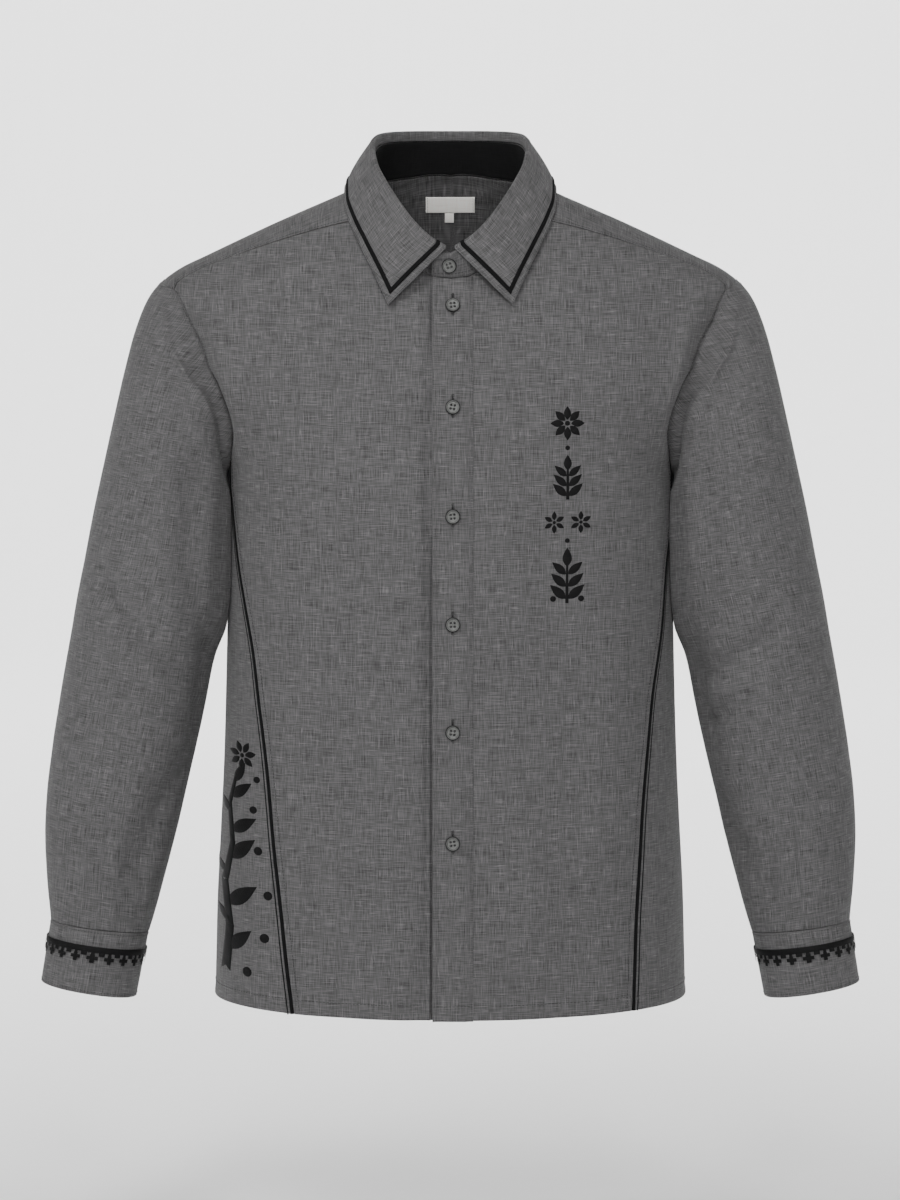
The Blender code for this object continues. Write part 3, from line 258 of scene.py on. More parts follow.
def run_of(points, axis=0):
    """Length from the start along a line of points, or along one axis of a grid of them."""
    steps = np.linalg.norm(np.diff(points, axis=axis), axis=-1)
    ends = [(0, 0)] * steps.ndim
    ends[axis] = (1, 0)
    return np.pad(np.cumsum(steps, axis=axis), ends)
def monotone(knots, values, at):
    """Cubic through the knots that never overshoots them."""
    knots = np.asarray(knots, float)
    values = np.asarray(values, float)
    at = np.clip(np.asarray(at, float), knots[0], knots[-1])
    step = np.diff(knots)
    slope = np.diff(values) / step
    lean = np.zeros(len(knots))
    for k in range(1, len(knots) - 1):
        if slope[k - 1] * slope[k] > 0:
            a = 2 * step[k] + step[k - 1]
            b = step[k] + 2 * step[k - 1]
            lean[k] = (a + b) / (a / slope[k - 1] + b / slope[k])
    lean[0] = slope[0]
    lean[-1] = slope[-1]
    place = np.clip(np.searchsorted(knots, at) - 1, 0, len(step) - 1)
    h = step[place]
    t = (at - knots[place]) / h
    start = (1 + 2 * t) * (1 - t) ** 2 * values[place]
    end = soft(t) * values[place + 1]
    return start + end + h * t * (1 - t) ** 2 * lean[place] - h * t * t * (1 - t) * lean[place + 1]


def column_at(table, column, at):
    """Value of a table's column at a place in its first column."""
    return monotone(table[:, 0], table[:, column], at)


def section(z):
    """Half width, front depth, back depth and power of the trunk at height z."""
    return [column_at(TRUNK, k, z) for k in (1, 2, 3, 4)]


def on_trunk(angle, z):
    """Point of the trunk at an angle from the front centre (positive to the wearer's left)."""
    angle = np.radians(np.asarray(angle, float))
    z = np.asarray(z, float)
    width, front, back, power = section(z)
    s = np.sin(angle)
    c = np.cos(angle)
    x = width * np.sign(s) * np.abs(s) ** (2 / power)
    y = -np.where(c > 0, front, back) * np.sign(c) * np.abs(c) ** (2 / power)
    return join(x, y, z + 0 * x)


def outside(x, y, z):
    """Zero on the trunk, below zero inside it."""
    width, front, back, power = section(z)
    depth = np.where(y < 0, front, back)
    return (np.abs(x) / width) ** power + (np.abs(y) / depth) ** power - 1


def outward(points):
    """Unit normal of the trunk at its points."""
    x, y, z = np.moveaxis(points, -1, 0)
    h = 1e-4
    grad = join(outside(x + h, y, z) - outside(x - h, y, z),
        outside(x, y + h, z) - outside(x, y - h, z),
        outside(x, y, z + h) - outside(x, y, z - h))
    return unit(grad)


def angle_of(x, z):
    """Degrees from the front centre of the trunk point at x and z."""
    width, _, _, power = section(z)
    ratio = np.clip(np.abs(x) / width, 0, 1) ** (power / 2)
    return np.degrees(np.arcsin(ratio)) * np.sign(x)


def height_over(x, y):
    """Height of the trunk's upper surface at x and y."""
    low = np.full(np.shape(x), -0.30)
    high = np.full(np.shape(x), 0.035)
    for _ in range(50):
        mid = (low + high) / 2
        is_out = outside(x, y, mid) > 0
        high = np.where(is_out, mid, high)
        low = np.where(is_out, low, mid)
    return (low + high) / 2


def fold_height(points):
    """Soft ridges and troughs of the worn trunk."""
    x, y, z = np.moveaxis(points, -1, 0)
    total = np.zeros(x.shape)
    for folds, here in ((FRONT_FOLDS, y < 0), (BACK_FOLDS, y >= 0)):
        for x0, z0, x1, z1, half, depth in folds:
            t = np.clip((z - z0) / (z1 - z0), -0.25, 1.25)
            away = (np.abs(x) - (x0 + (x1 - x0) * t)) / half
            ends = np.clip(np.minimum(t + 0.25, 1.25 - t) / 0.25, 0, 1)
            rise = depth * np.exp(-away ** 2) * soft(ends)
            near_side = np.clip(np.abs(y) / 0.03, 0, 1)
            total = total + np.where(here, rise * near_side, 0)
    return total


def ease(share):
    """Slope with a soft start, from 0 to 1."""
    share = np.clip(share, 0, 1)
    return share * share * (1.6 - 0.6 * share)


def hollow_at(z, column):
    """Size from the armhole hollow's table at a height."""
    inside = np.clip(z, ARMHOLE_HOLLOW[0, 0], ARMHOLE_HOLLOW[-1, 0])
    return column_at(ARMHOLE_HOLLOW, column, inside)


def armhole_hollow(points):
    """Fall of the trunk towards the armhole seam."""
    x, y, z = np.moveaxis(points, -1, 0)
    seam = np.where(y < 0, np.interp(z, *SEAM_IN_FRONT), np.interp(z, *SEAM_BEHIND))
    share = 1 - (seam - np.abs(x)) / hollow_at(z, 2)
    return -hollow_at(z, 1) * ease(share)


def sample(at, run, points):
    """Points at lengths along a line."""
    return np.stack([np.interp(at, run, column) for column in points.T], axis=-1)


def path(points, fractions, scale=(1.0, 1.0, 1.0)):
    """Smooth path through points, sampled at fractions of its length."""
    points = np.asarray(points, float)
    scaled = points * np.asarray(scale[:points.shape[1]])
    knots = run_of(scaled)
    dense = np.linspace(0, knots[-1], 400)
    line = np.stack([monotone(knots, points[:, k], dense) for k in range(points.shape[1])], axis=-1)
    wide = line * np.asarray(scale[:points.shape[1]])
    run = run_of(wide)
    at = np.asarray(fractions) * run[-1]
    return sample(at, run, line)


ANGLE_SCALE = (0.0028, 1.0)


def edge_path(table, count, start=0.0, end=1.0):
    """Evenly spaced points along a smooth edge given as angle and height."""
    return path(table, np.linspace(start, end, count), ANGLE_SCALE)


def seam_run(table, turned):
    """Heights and half widths of an armhole, upwards."""
    line = edge_path(table, 80, 1, 0)
    angle = 180 - line[:, 0] if turned else line[:, 0]
    return line[:, 1], np.abs(on_trunk(angle, line[:, 1])[:, 0])


SEAM_IN_FRONT = seam_run(ARMHOLE_FRONT, False)
SEAM_BEHIND = seam_run(ARMHOLE_BACK, True)


def coons(top, bottom, left, right):
    """Patch between four edges: rows run from top to bottom, columns from left to right."""
    u = np.linspace(0, 1, len(top))[None, :, None]
    v = np.linspace(0, 1, len(left))[:, None, None]
    rails = (1 - v) * top[None] + v * bottom[None] + (1 - u) * left[:, None] + u * right[:, None]
    corners = (1 - u) * (1 - v) * top[0] + u * (1 - v) * top[-1] + (1 - u) * v * bottom[0]
    return rails - corners - u * v * bottom[-1]


def square_way(edge, inner):
    """Unit ways square to an edge, towards the next line of points."""
    along = unit(np.gradient(edge, axis=0))
    way = inner - edge
    way = way - along * np.sum(way * along, axis=-1, keepdims=True)
    return unit(way)


def pull(points, top=0.0, bottom=0.0, left=0.0, right=0.0):
    """Move the edges of a grid of points inward by a length."""
    points = points.copy()
    for amount, e, n in ((top, 0, 1), (bottom, -1, -2)):
        if amount:
            points[e] += square_way(points[e], points[n]) * amount
    for amount, e, n in ((left, 0, 1), (right, -1, -2)):
        if amount:
            points[:, e] += square_way(points[:, e], points[:, n]) * amount
    return points


def grid_normals(points, away_from=None):
    """Unit normals of a grid of points."""
    normal = np.cross(np.gradient(points, axis=0), np.gradient(points, axis=1))
    normal = normal / np.maximum(np.linalg.norm(normal, axis=-1, keepdims=True), 1e-12)
    if away_from is not None and np.sum(normal * (points - away_from)) < 0:
        normal = -normal
    return normal


def hem_z(angle):
    """Height of the hem at an angle round the trunk."""
    return HEM_FRONT_Z + (HEM_SIDE_Z - HEM_FRONT_Z) * np.sin(np.radians(angle)) ** 2


def neck_point(angle):
    """Neckline point on the trunk at an angle round the neck, positive to the wearer's left."""
    turn = (np.asarray(angle, float) + 180) % 360 - 180
    size = np.abs(turn)
    x, z = [column_at(NECKLINE, k, size) for k in (1, 2)]
    width, front, _, power = section(z)
    y = -front * np.maximum(1 - (x / width) ** power, 0) ** (1 / power)
    x_back, y_back = [column_at(NECKLINE_BACK, k, size) for k in (1, 2)]
    behind = size >= 90
    x = np.where(behind, x_back, x)
    y = np.where(behind, y_back, y)
    z = np.where(behind, height_over(x_back, y_back), z)
    return join(np.sign(turn) * x, y, z)


YOKE_NECK = neck_point(NECK_YOKE_ANGLE)
YOKE_ARM = on_trunk(*ARMHOLE_FRONT[1])
SLEEVE_AT = np.arange(len(SLEEVE), dtype=float)


def neck_uv(angle):
    """Angle round the trunk and height of the neckline point."""
    p = neck_point(angle)
    return join(angle_of(p[..., 0], p[..., 2]), p[..., 2])


def yoke_seam(fractions):
    """Angle and height along the yoke seam of the wearer's left front, neck to armhole."""
    f = np.asarray(fractions)[:, None]
    plan = YOKE_NECK[:2] * (1 - f) + YOKE_ARM[:2] * f
    z = height_over(plan[:, 0], plan[:, 1])
    z[0] = YOKE_NECK[2]
    z[-1] = YOKE_ARM[2]
    return join(angle_of(plan[:, 0], z), z)


def seam_line(table):
    """Slanting seam as angle and height, from the armhole to the hem."""
    top = ARMHOLE_FRONT[7]
    rest = join(angle_of(table[:, 0], table[:, 1]), table[:, 1])
    rest[-1, 1] = hem_z(rest[-1, 0])
    return np.vstack((top, rest))


def fold_point(angle):
    """Fold of the collar at an angle round the neck, with its roll height and outward way."""
    turn = (np.asarray(angle, float) + 180) % 360 - 180
    size = np.abs(turn)
    x, y, z, roll = [column_at(FOLD, k, size) for k in (1, 2, 3, 4)]
    place = join(np.sign(turn) * x, y, z)
    way = unit(join(place[..., 0] / 0.072 ** 2, (y + 0.010) / 0.074 ** 2, 0 * x))
    return place, roll, way


def neck_inward(angle):
    """Way along the trunk surface from the neckline into the neck opening."""
    here = neck_point(angle)
    tangent = neck_point(np.asarray(angle) + 0.5) - neck_point(np.asarray(angle) - 0.5)
    way = unit(np.cross(tangent, outward(here)))
    flip = np.where(way[..., 2] < 0, -1.0, 1.0)
    return way * flip[..., None]


def stand_grid(angles, rows, inset, low=0.0, high=0.0):
    """Points of the stand from the end on top, round the neck, to the end beneath."""
    cols = len(angles)
    base = neck_point(angles) + neck_inward(angles) * 0.0016
    top, roll, way = fold_point(angles)
    top = top - way * ROLL_RADIUS
    top[:, 2] -= roll + 0.0010
    start = np.clip((32 - angles) / 26, 0, 1)
    end = np.clip((angles - 330) / 26, 0, 1)
    lap = (soft(start) - soft(end)) * LAP_HALF_STEP
    height = np.ones(cols)
    for k, angle in enumerate(angles):
        past = 4.0 - angle if angle < 90 else angle - 358.0
        if past > 0:
            height[k] = 1 - 0.42 * min(past / 16.0, 1) ** 2
    v = np.linspace(low, 1 - high, rows)[:, None, None]
    grid = base[None] * (1 - v * height[None, :, None]) + top[None] * v * height[None, :, None]
    grid = grid + way[None] * (lap - inset)[None, :, None]
    return grid


def armhole_loop(theta):
    """Armhole point, normal and hollow: 0 degrees at the shoulder tip, 90 in front, 180 under the arm."""
    theta = np.asarray(theta, float) % 360
    f = np.where(theta <= 180, theta, 360 - theta) / 180
    front = path(ARMHOLE_FRONT, f, ANGLE_SCALE)
    back = path(ARMHOLE_BACK, f, ANGLE_SCALE)
    pf = on_trunk(front[..., 0], front[..., 1])
    pb = on_trunk(180 - back[..., 0], back[..., 1])
    loop = np.where((theta <= 180)[..., None], pf, pb)
    place, normal = worn(loop)
    return place, normal, -hollow_at(loop[..., 2], 1), hollow_at(loop[..., 2], 3)


def ring(theta, outer_x, outer_z, inner_x, inner_z, half_depth, forward, power=2.15):
    """Rounded ring between an outer and an inner point."""
    t = np.radians(theta)
    c = np.sign(np.cos(t)) * np.abs(np.cos(t)) ** (2 / power)
    s = np.sign(np.sin(t)) * np.abs(np.sin(t)) ** (2 / power)
    x = (outer_x + inner_x) / 2 + (outer_x - inner_x) / 2 * c
    z = (outer_z + inner_z) / 2 + (outer_z - inner_z) / 2 * c
    y = forward - half_depth * s
    return join(x, y, z)


def worn(points, lift=0.0):
    """Points of the trunk moved by the folds and by a lift along the normal."""
    normal = outward(points)
    height = fold_height(points) + armhole_hollow(points) + lift
    return points + normal * height[..., None], normal


def beside(points, gap):
    """Sleeve points kept clear of the trunk's side, where the arm rests on it."""
    x, y, z = np.moveaxis(points, -1, 0)
    width, front, back, power = section(np.minimum(z, UNDERARM_Z))
    share = np.clip(np.abs(y) / np.where(y < 0, front, back), 0, 0.98)
    side = width * (1 - share ** power) ** (1 / power) + gap - np.maximum(z - UNDERARM_Z, 0) * 3
    over = x - side
    x = side + (over + np.sqrt(over * over + 0.002 ** 2)) / 2
    return join(x, y, z)


def sleeve_point(theta, s, gap=SLEEVE_BODY_GAP):
    """Sleeve point of the wearer's left arm at an angle and a ring position."""
    row = [monotone(SLEEVE_AT, SLEEVE[:, k], s) for k in range(7)]
    t = np.radians(theta)
    loop, normal, drop, reach = armhole_loop(theta)
    near = (1 + np.cos(t)) / 2
    clear = 0.0013 + 0.0008 * near ** 2 + 0.0010 * (1 - near) ** 6
    shift_x = (row[0] - SLEEVE[0, 0]) * near + (row[2] - SLEEVE[0, 2]) * (1 - near)
    shift_z = (row[1] - SLEEVE[0, 1]) * near + (row[3] - SLEEVE[0, 3]) * (1 - near)
    shift_y = row[5] + 0 * shift_x
    start = loop - normal * drop[..., None] + join(clear + shift_x, shift_y, shift_z)
    full = start * (1 - row[6]) + ring(theta, *row[:6]) * row[6]
    left = ease(1 - np.hypot(shift_x, shift_z) / reach)
    full = full + normal * (drop * left)[..., None]
    return full + (beside(full, gap) - full) * np.clip(s, 0, 1)


# Creases of the trunk's front and back: line of beside and up, half width, height (below zero for a trough)
FRONT_CREASES = (
    (((-0.2300, -0.0809), (-0.2165, -0.1014), (-0.2072, -0.1249), (-0.2018, -0.1482), (-0.1965, -0.1772)),
     0.0055, 0.0026),
    (((0.2290, -0.0830), (0.2160, -0.1040), (0.2068, -0.1260), (0.2015, -0.1500), (0.1965, -0.1772)),
     0.0055, 0.0024),
    (((-0.2050, -0.0950), (-0.1820, -0.1500), (-0.1700, -0.2200)), 0.0130, -0.0012),
    (((0.2060, -0.0950), (0.1840, -0.1600), (0.1740, -0.2200)), 0.0130, -0.0012),
    (((-0.1900, -0.2300), (-0.1600, -0.2900), (-0.1200, -0.3200)), 0.0120, -0.0011),
    (((0.1900, -0.2350), (0.1600, -0.2850), (0.1330, -0.3050)), 0.0120, -0.0010),
    (((-0.1150, -0.3300), (-0.1250, -0.6200)), 0.0180, -0.0012),
    (((-0.0205, -0.0800), (-0.0200, -0.4500), (-0.0205, -0.7600)), 0.0040, -0.0022),
    (((-0.0300, -0.5600), (-0.0260, -0.7600)), 0.0095, -0.0026),
    (((-0.0750, -0.5200), (-0.0820, -0.7350)), 0.0140, 0.0010),
    (((0.0480, -0.4600), (0.0430, -0.7300)), 0.0130, -0.0010),
    (((0.1200, -0.3500), (0.1150, -0.6800)), 0.0200, -0.0014),
    (((0.0780, -0.5600), (0.0830, -0.7350)), 0.0130, 0.0010),
    (((-0.1800, -0.4600), (-0.1700, -0.7300)), 0.0120, 0.0012),
    (((0.1850, -0.4900), (0.1800, -0.7300)), 0.0120, 0.0012),
)
BACK_CREASES = (
    (((-0.2250, -0.0950), (-0.2080, -0.1400), (-0.1980, -0.1900)), 0.0060, 0.0012),
    (((0.2240, -0.0980), (0.2070, -0.1400), (0.1980, -0.1880)), 0.0060, 0.0012),
    (((-0.1200, -0.1000), (-0.1000, -0.3300)), 0.0150, -0.0016),
    (((0.1150, -0.1000), (0.1050, -0.3000)), 0.0160, -0.0015),
    (((-0.0450, -0.0950), (-0.0550, -0.4200)), 0.0130, 0.0014),
    (((0.0500, -0.0950), (0.0420, -0.3900)), 0.0140, 0.0013),
    (((-0.1850, -0.2350), (-0.1500, -0.3100), (-0.0900, -0.3500)), 0.0120, -0.0015),
    (((0.1850, -0.2400), (0.1500, -0.3050), (0.0950, -0.3400)), 0.0120, -0.0014),
    (((-0.1300, -0.4000), (-0.1400, -0.7350)), 0.0150, 0.0015),
    (((0.0300, -0.4300), (0.0200, -0.7350)), 0.0140, -0.0013),
    (((0.1320, -0.4300), (0.1380, -0.7350)), 0.0150, 0.0016),
)
# Sleeve creases: line of degrees round the sleeve and ring place, half width, height
SLEEVE_CREASES = (
    (((30.0, 0.75), (38.0, 0.95), (62.0, 1.8), (83.0, 1.55), (95.0, 1.2), (122.0, 0.75)), 0.0065, 0.0032),
    (((330.0, 0.8), (300.0, 1.7), (278.0, 1.5), (240.0, 0.8)), 0.0070, 0.0036),
    (((50.0, 0.6), (78.0, 3.2), (104.0, 4.8)), 0.0120, -0.0018),
    (((138.0, 2.4), (142.0, 4.2), (148.0, 6.6), (158.0, 8.6), (160.0, 11.0)), 0.0140, -0.0075),
    (((112.0, 2.6), (108.0, 4.6), (112.0, 6.2), (126.0, 7.2), (150.0, 8.1)), 0.0170, -0.0082),
    (((92.0, 0.5), (112.0, 0.7), (132.0, 1.0), (150.0, 1.7), (154.0, 2.6)), 0.0100, -0.0055),
    (((248.0, 2.6), (252.0, 4.6), (246.0, 6.4), (226.0, 8.0)), 0.0170, -0.0042),
    (((205.0, 8.4), (235.0, 9.2), (265.0, 9.4)), 0.0110, -0.0039),
    (((200.0, 10.2), (230.0, 11.0), (262.0, 11.2)), 0.0110, -0.0030),
    (((200.0, 9.3), (232.0, 10.1), (262.0, 10.3)), 0.0090, 0.0021),
    (((70.0, 13.2), (74.0, 16.0)), 0.0060, 0.0015),
    (((88.0, 12.8), (94.0, 16.0)), 0.0070, -0.0021),
    (((112.0, 13.0), (118.0, 16.0)), 0.0065, -0.0018),
    (((140.0, 13.6), (146.0, 16.0)), 0.0055, 0.0015),
    (((250.0, 12.4), (256.0, 16.0)), 0.0060, -0.0024),
    (((232.0, 12.8), (226.0, 16.0)), 0.0060, 0.0018),
    (((300.0, 13.0), (296.0, 16.0)), 0.0070, -0.0018),
)
LEFT_SLEEVE_CREASES = (
    (((158.0, 8.5), (124.0, 8.6), (96.0, 8.75), (72.0, 8.7)), 0.0095, -0.0060),
    (((150.0, 9.2), (120.0, 9.3), (92.0, 9.5)), 0.0080, 0.0026),
    (((165.0, 9.8), (140.0, 9.75), (118.0, 9.8)), 0.0065, -0.0052),
    (((166.0, 11.0), (152.0, 12.6), (137.0, 14.3)), 0.0150, -0.0056),
    (((140.0, 10.6), (128.0, 12.4)), 0.0100, 0.0015),
)
RIGHT_SLEEVE_CREASES = (
    (((38.0, 7.9), (68.0, 8.6), (99.0, 9.0), (150.0, 8.95)), 0.0095, -0.0060),
    (((60.0, 9.4), (95.0, 9.7), (140.0, 9.6)), 0.0090, 0.0030),
    (((160.0, 10.2), (138.0, 11.8), (116.0, 15.0)), 0.0160, -0.0064),
    (((112.0, 10.9), (98.0, 13.0)), 0.0110, 0.0015),
)


def near_line(x, z, folds):
    """Sum of soft ridges and troughs along bent lines in a plane."""
    total = np.zeros(np.shape(x))
    for line, half, height in folds:
        line = np.asarray(line, float)
        runs = run_of(line)
        away, along = np.full(np.shape(x), 9.0), np.zeros(np.shape(x))
        for k in range(len(line) - 1):
            dx, dz = line[k + 1] - line[k]
            t = np.clip(((x - line[k, 0]) * dx + (z - line[k, 1]) * dz) / (dx * dx + dz * dz), 0, 1)
            far = np.hypot(x - line[k, 0] - dx * t, z - line[k, 1] - dz * t)
            along = np.where(far < away, (runs[k] + t * (runs[k + 1] - runs[k])) / runs[-1], along)
            away = np.minimum(far, away)
        over = np.clip((np.minimum(along, 1 - along) + 0.06) / 0.30, 0, 1)
        total = total + height * soft(over) * np.exp(-(away / half) ** 2)
    return total


def creases(points):
    """Fine creases of the trunk, with the turned hem and the tight neckline left calm."""
    x, y, z = np.moveaxis(points, -1, 0)
    front = near_line(x, z, FRONT_CREASES)
    back = near_line(x, z, BACK_CREASES)
    side = np.clip(np.abs(y) / 0.03, 0, 1)
    total = np.where(y < 0, front, back) * side
    total = total + 0.0004 * np.sin(x * 61 + z * 23) * np.sin(z * 37 - x * 17) * side
    calm = np.clip((-0.060 - z) / 0.03, 0, 1)
    band = np.clip((HEM_FRONT_Z + 0.0125 - z) / 0.0012, 0, 1)
    pucker = 0.00022 * np.sin(x * 640) * np.exp(-((z - HEM_FRONT_Z - 0.0135) / 0.005) ** 2)
    return total * calm + 0.0004 * band + pucker


def shape_of(flat):
    """Height of the worn cloth over the plain trunk."""
    return fold_height(flat) + armhole_hollow(flat) + creases(flat)


def dress(flat, lift=0.0):
    """Points and normals of the worn trunk for points of the plain form."""
    normal = outward(flat)
    height = shape_of(flat) + lift
    return flat + normal * height[..., None], normal


def trunk(angle, z, lift=0.0):
    """Points and normals of the worn trunk at an angle and a height."""
    return dress(on_trunk(angle, z), lift)


# Length up the slope of the chest, for the run of the weave
CLIMB_Z = np.linspace(-0.75, 0.04, 160)
CLIMB_LINE = on_trunk(angle_of(np.full(160, 0.09), CLIMB_Z), CLIMB_Z)
CLIMB = run_of(CLIMB_LINE[:, 1:])


def weave_place(angle, z, origin=0.0):
    """Length round the trunk at each height from an origin, and length up the slope."""
    steps = np.linspace(0, 1, 33)
    turn = origin + (angle[..., None] - origin) * steps
    line = on_trunk(turn, z[..., None] + 0 * turn)
    run = run_of(line, line.ndim - 2)[..., -1]
    return join(np.sign(angle - origin) * run, np.interp(z, CLIMB_Z, CLIMB))


# Materials, all procedural
def give(tree, socket, value):
    """Set the value of an input, or link it to an output."""
    if isinstance(value, bpy.types.NodeSocket):
        tree.links.new(value, socket)
    else:
        socket.default_value = value


def add(tree, kind, inputs=None, output=0, **settings):
    """New node with its settings and inputs; returns one of its outputs."""
    node = tree.nodes.new("ShaderNode" + kind)
    for name, value in settings.items():
        setattr(node, name, value)
    for socket, value in (inputs or {}).items():
        give(tree, node.inputs[socket], value)
    return node.outputs[output]


def new_material(name):
    material = bpy.data.materials.new(name)
    material.use_nodes = True
    return material, material.node_tree


def maths(tree, kind, a, b=0.5):
    return add(tree, "Math", {0: a, 1: b}, operation=kind)


def noise(tree, place, across, up, detail=2.0):
    """Flat noise with so many cells to a metre each way."""
    place = add(tree, "Mapping", {"Scale": (across, up, 1.0), "Vector": place})
    wanted = {"Scale": 1.0, "Detail": detail, "Roughness": 0.5, "Vector": place}
    return add(tree, "TexNoise", wanted, noise_dimensions="2D")


def remap(tree, value, low, high, to_low=0.0, to_high=1.0):
    wanted = {"From Min": low, "From Max": high, "To Min": to_low, "To Max": to_high, "Value": value}
    return add(tree, "MapRange", wanted)


def split(tree, vector):
    """The coordinates of a vector."""
    return [add(tree, "SeparateXYZ", {0: vector}, k) for k in (0, 1)]


def dress_shader(tree, colour, tone, **values):
    """Base colour times a tone, and plain values of the shader's other inputs."""
    shader = tree.nodes["Principled BSDF"]
    tinted = add(tree, "VectorMath", {0: colour, "Scale": tone}, operation="SCALE")
    give(tree, shader.inputs["Base Color"], tinted)
    for name, value in values.items():
        give(tree, shader.inputs[name.replace("_", " ")], value)


def woven(name, colour, contrast=1.0, slubs=1.0, pitch=0.00055, rough=0.9, sheen=0.25):
    """Plain weave with uneven threads both ways and sparse light slubs; UVs are in metres."""
    material, tree = new_material(name)
    place = add(tree, "UVMap")
    tone = 1.0
    for fine, slow, weight in ((1400.0, 60.0, 1.04), (840.0, 10.0, 0.30)):
        both = maths(tree, "ADD", noise(tree, place, fine, slow, 1.0), noise(tree, place, slow, fine, 1.0))
        level = maths(tree, "MULTIPLY", maths(tree, "SUBTRACT", both, 1.0), weight * contrast)
        tone = maths(tree, "ADD", level, tone)
    cloud = maths(tree, "SUBTRACT", noise(tree, place, 24.0, 24.0, 3.0), 0.5)
    slub_a = remap(tree, noise(tree, place, 1200.0, 80.0, 0.0), 0.735, 0.82)
    slub_b = remap(tree, noise(tree, place, 80.0, 1200.0, 0.0), 0.73, 0.81)
    light = maths(tree, "MAXIMUM", slub_a, slub_b)
    dark = remap(tree, noise(tree, place, 1200.0, 60.0, 0.0), 0.26, 0.19)
    for part, weight in ((cloud, 0.10 * contrast), (light, 0.50 * slubs), (dark, -0.22 * slubs)):
        tone = maths(tree, "ADD", tone, maths(tree, "MULTIPLY", part, weight))
    waves = [maths(tree, "SINE", maths(tree, "MULTIPLY", part, np.pi / pitch)) for part in split(tree, place)]
    weave = maths(tree, "MULTIPLY", maths(tree, "MULTIPLY", *waves), 0.35)
    bump = {"Strength": 0.55, "Distance": 0.00022, "Height": maths(tree, "ADD", weave, tone)}
    dress_shader(tree, colour, tone, Normal=add(tree, "Bump", bump), Roughness=rough, Sheen_Weight=sheen,
                 Sheen_Roughness=0.5, Specular_IOR_Level=0.08)
    return material


def thread(name, colour, rough=0.55):
    """Twisted or satin thread; UVs run in metres along v."""
    material, tree = new_material(name)
    place = add(tree, "UVMap")
    fine = noise(tree, place, 1800.0, 120.0)
    tone = maths(tree, "ADD", maths(tree, "MULTIPLY", fine, 0.9), noise(tree, place, 160.0, 160.0))
    bump = add(tree, "Bump", {"Strength": 0.6, "Distance": 0.0003, "Height": fine})
    dress_shader(tree, colour, tone, Normal=bump, Roughness=rough, Sheen_Weight=0.02, Specular_IOR_Level=0.09)
    return material


def plastic(name, colour):
    """Moulded button with painted shade, darker at its rim and in the step of its dish where shade falls; u
    is the share of its radius.
    """
    material, tree = new_material(name)
    cloud = noise(tree, add(tree, "TexCoord", output="Object"), 420.0, 260.0, 4.0)
    share = split(tree, add(tree, "UVMap"))[0]
    # Painted shade: the rim darkens to a dark ring round the button's edge, and the dish's step darkens to
    # half
    rim = remap(tree, share, 0.80, 0.88, 1.0, 0.05)
    step = maths(tree, "ABSOLUTE", maths(tree, "SUBTRACT", share, 0.735))
    step = remap(tree, step, 0.02, 0.06, 0.50, 1.0)
    spots, rough = [remap(tree, cloud, 0.3, 0.7, *ends) for ends in ((0.86, 1.14), (0.42, 0.55))]
    tone = maths(tree, "MULTIPLY", spots, maths(tree, "MULTIPLY", rim, step))
    dress_shader(tree, colour, tone, Roughness=rough, Specular_IOR_Level=0.35)
    return material


LINEN = woven("linen_cloth", (0.0765, 0.0750, 0.0760), sheen=0.10)
BLACK = woven("black_cloth", (0.0055, 0.0055, 0.0057), 0.5, 0.4, rough=0.95, sheen=0.02)
# Black thread of the embroidery; the same black also fills the button holes and the buttonhole slits as
# painted shade
BLACK_THREAD = thread("black_thread", (0.0045, 0.0045, 0.0047), 0.6)
GREY_THREAD = thread("grey_thread", (0.026, 0.0255, 0.026), 0.7)
LIGHT_THREAD = thread("light_thread", (0.066, 0.065, 0.066), 0.7)
CREAM = woven("label_cloth", (1.0, 0.975, 0.92), 0.20, 0.0, 0.0003, 0.8)
BUTTON_MATERIAL = plastic("button_plastic", (0.098, 0.100, 0.096))


def finish_piece(thing, material, slot_name, replaced=()):
    thing.data.materials.append(material)
    if replaced:
        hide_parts(*replaced)
    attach(thing, "root")
    return thing


def mesh_object(name, verts, faces, uvs=None, smooth=True):
    """Object from plain vertices and faces, with one UV for each face corner."""
    mesh = bpy.data.meshes.new(name)
    mesh.from_pydata(verts, [], faces)
    if uvs is not None:
        layer = mesh.uv_layers.new(name="UVMap")
        layer.data.foreach_set("uv", np.asarray(uvs, dtype=np.float32).ravel())
    mesh.polygons.foreach_set("use_smooth", np.full(len(mesh.polygons), smooth))
    mesh.update()
    thing = bpy.data.objects.new(name, mesh)
    bpy.context.scene.collection.objects.link(thing)
    return thing


def crisp(points):
    """A grid with one more line of points close to each free edge."""
    first = points[:1] + (points[1:2] - points[:1]) * 0.14
    last = points[-1:] + (points[-2:-1] - points[-1:]) * 0.14
    return np.concatenate((points[:1], first, points[1:-1], last, points[-1:]), axis=0)


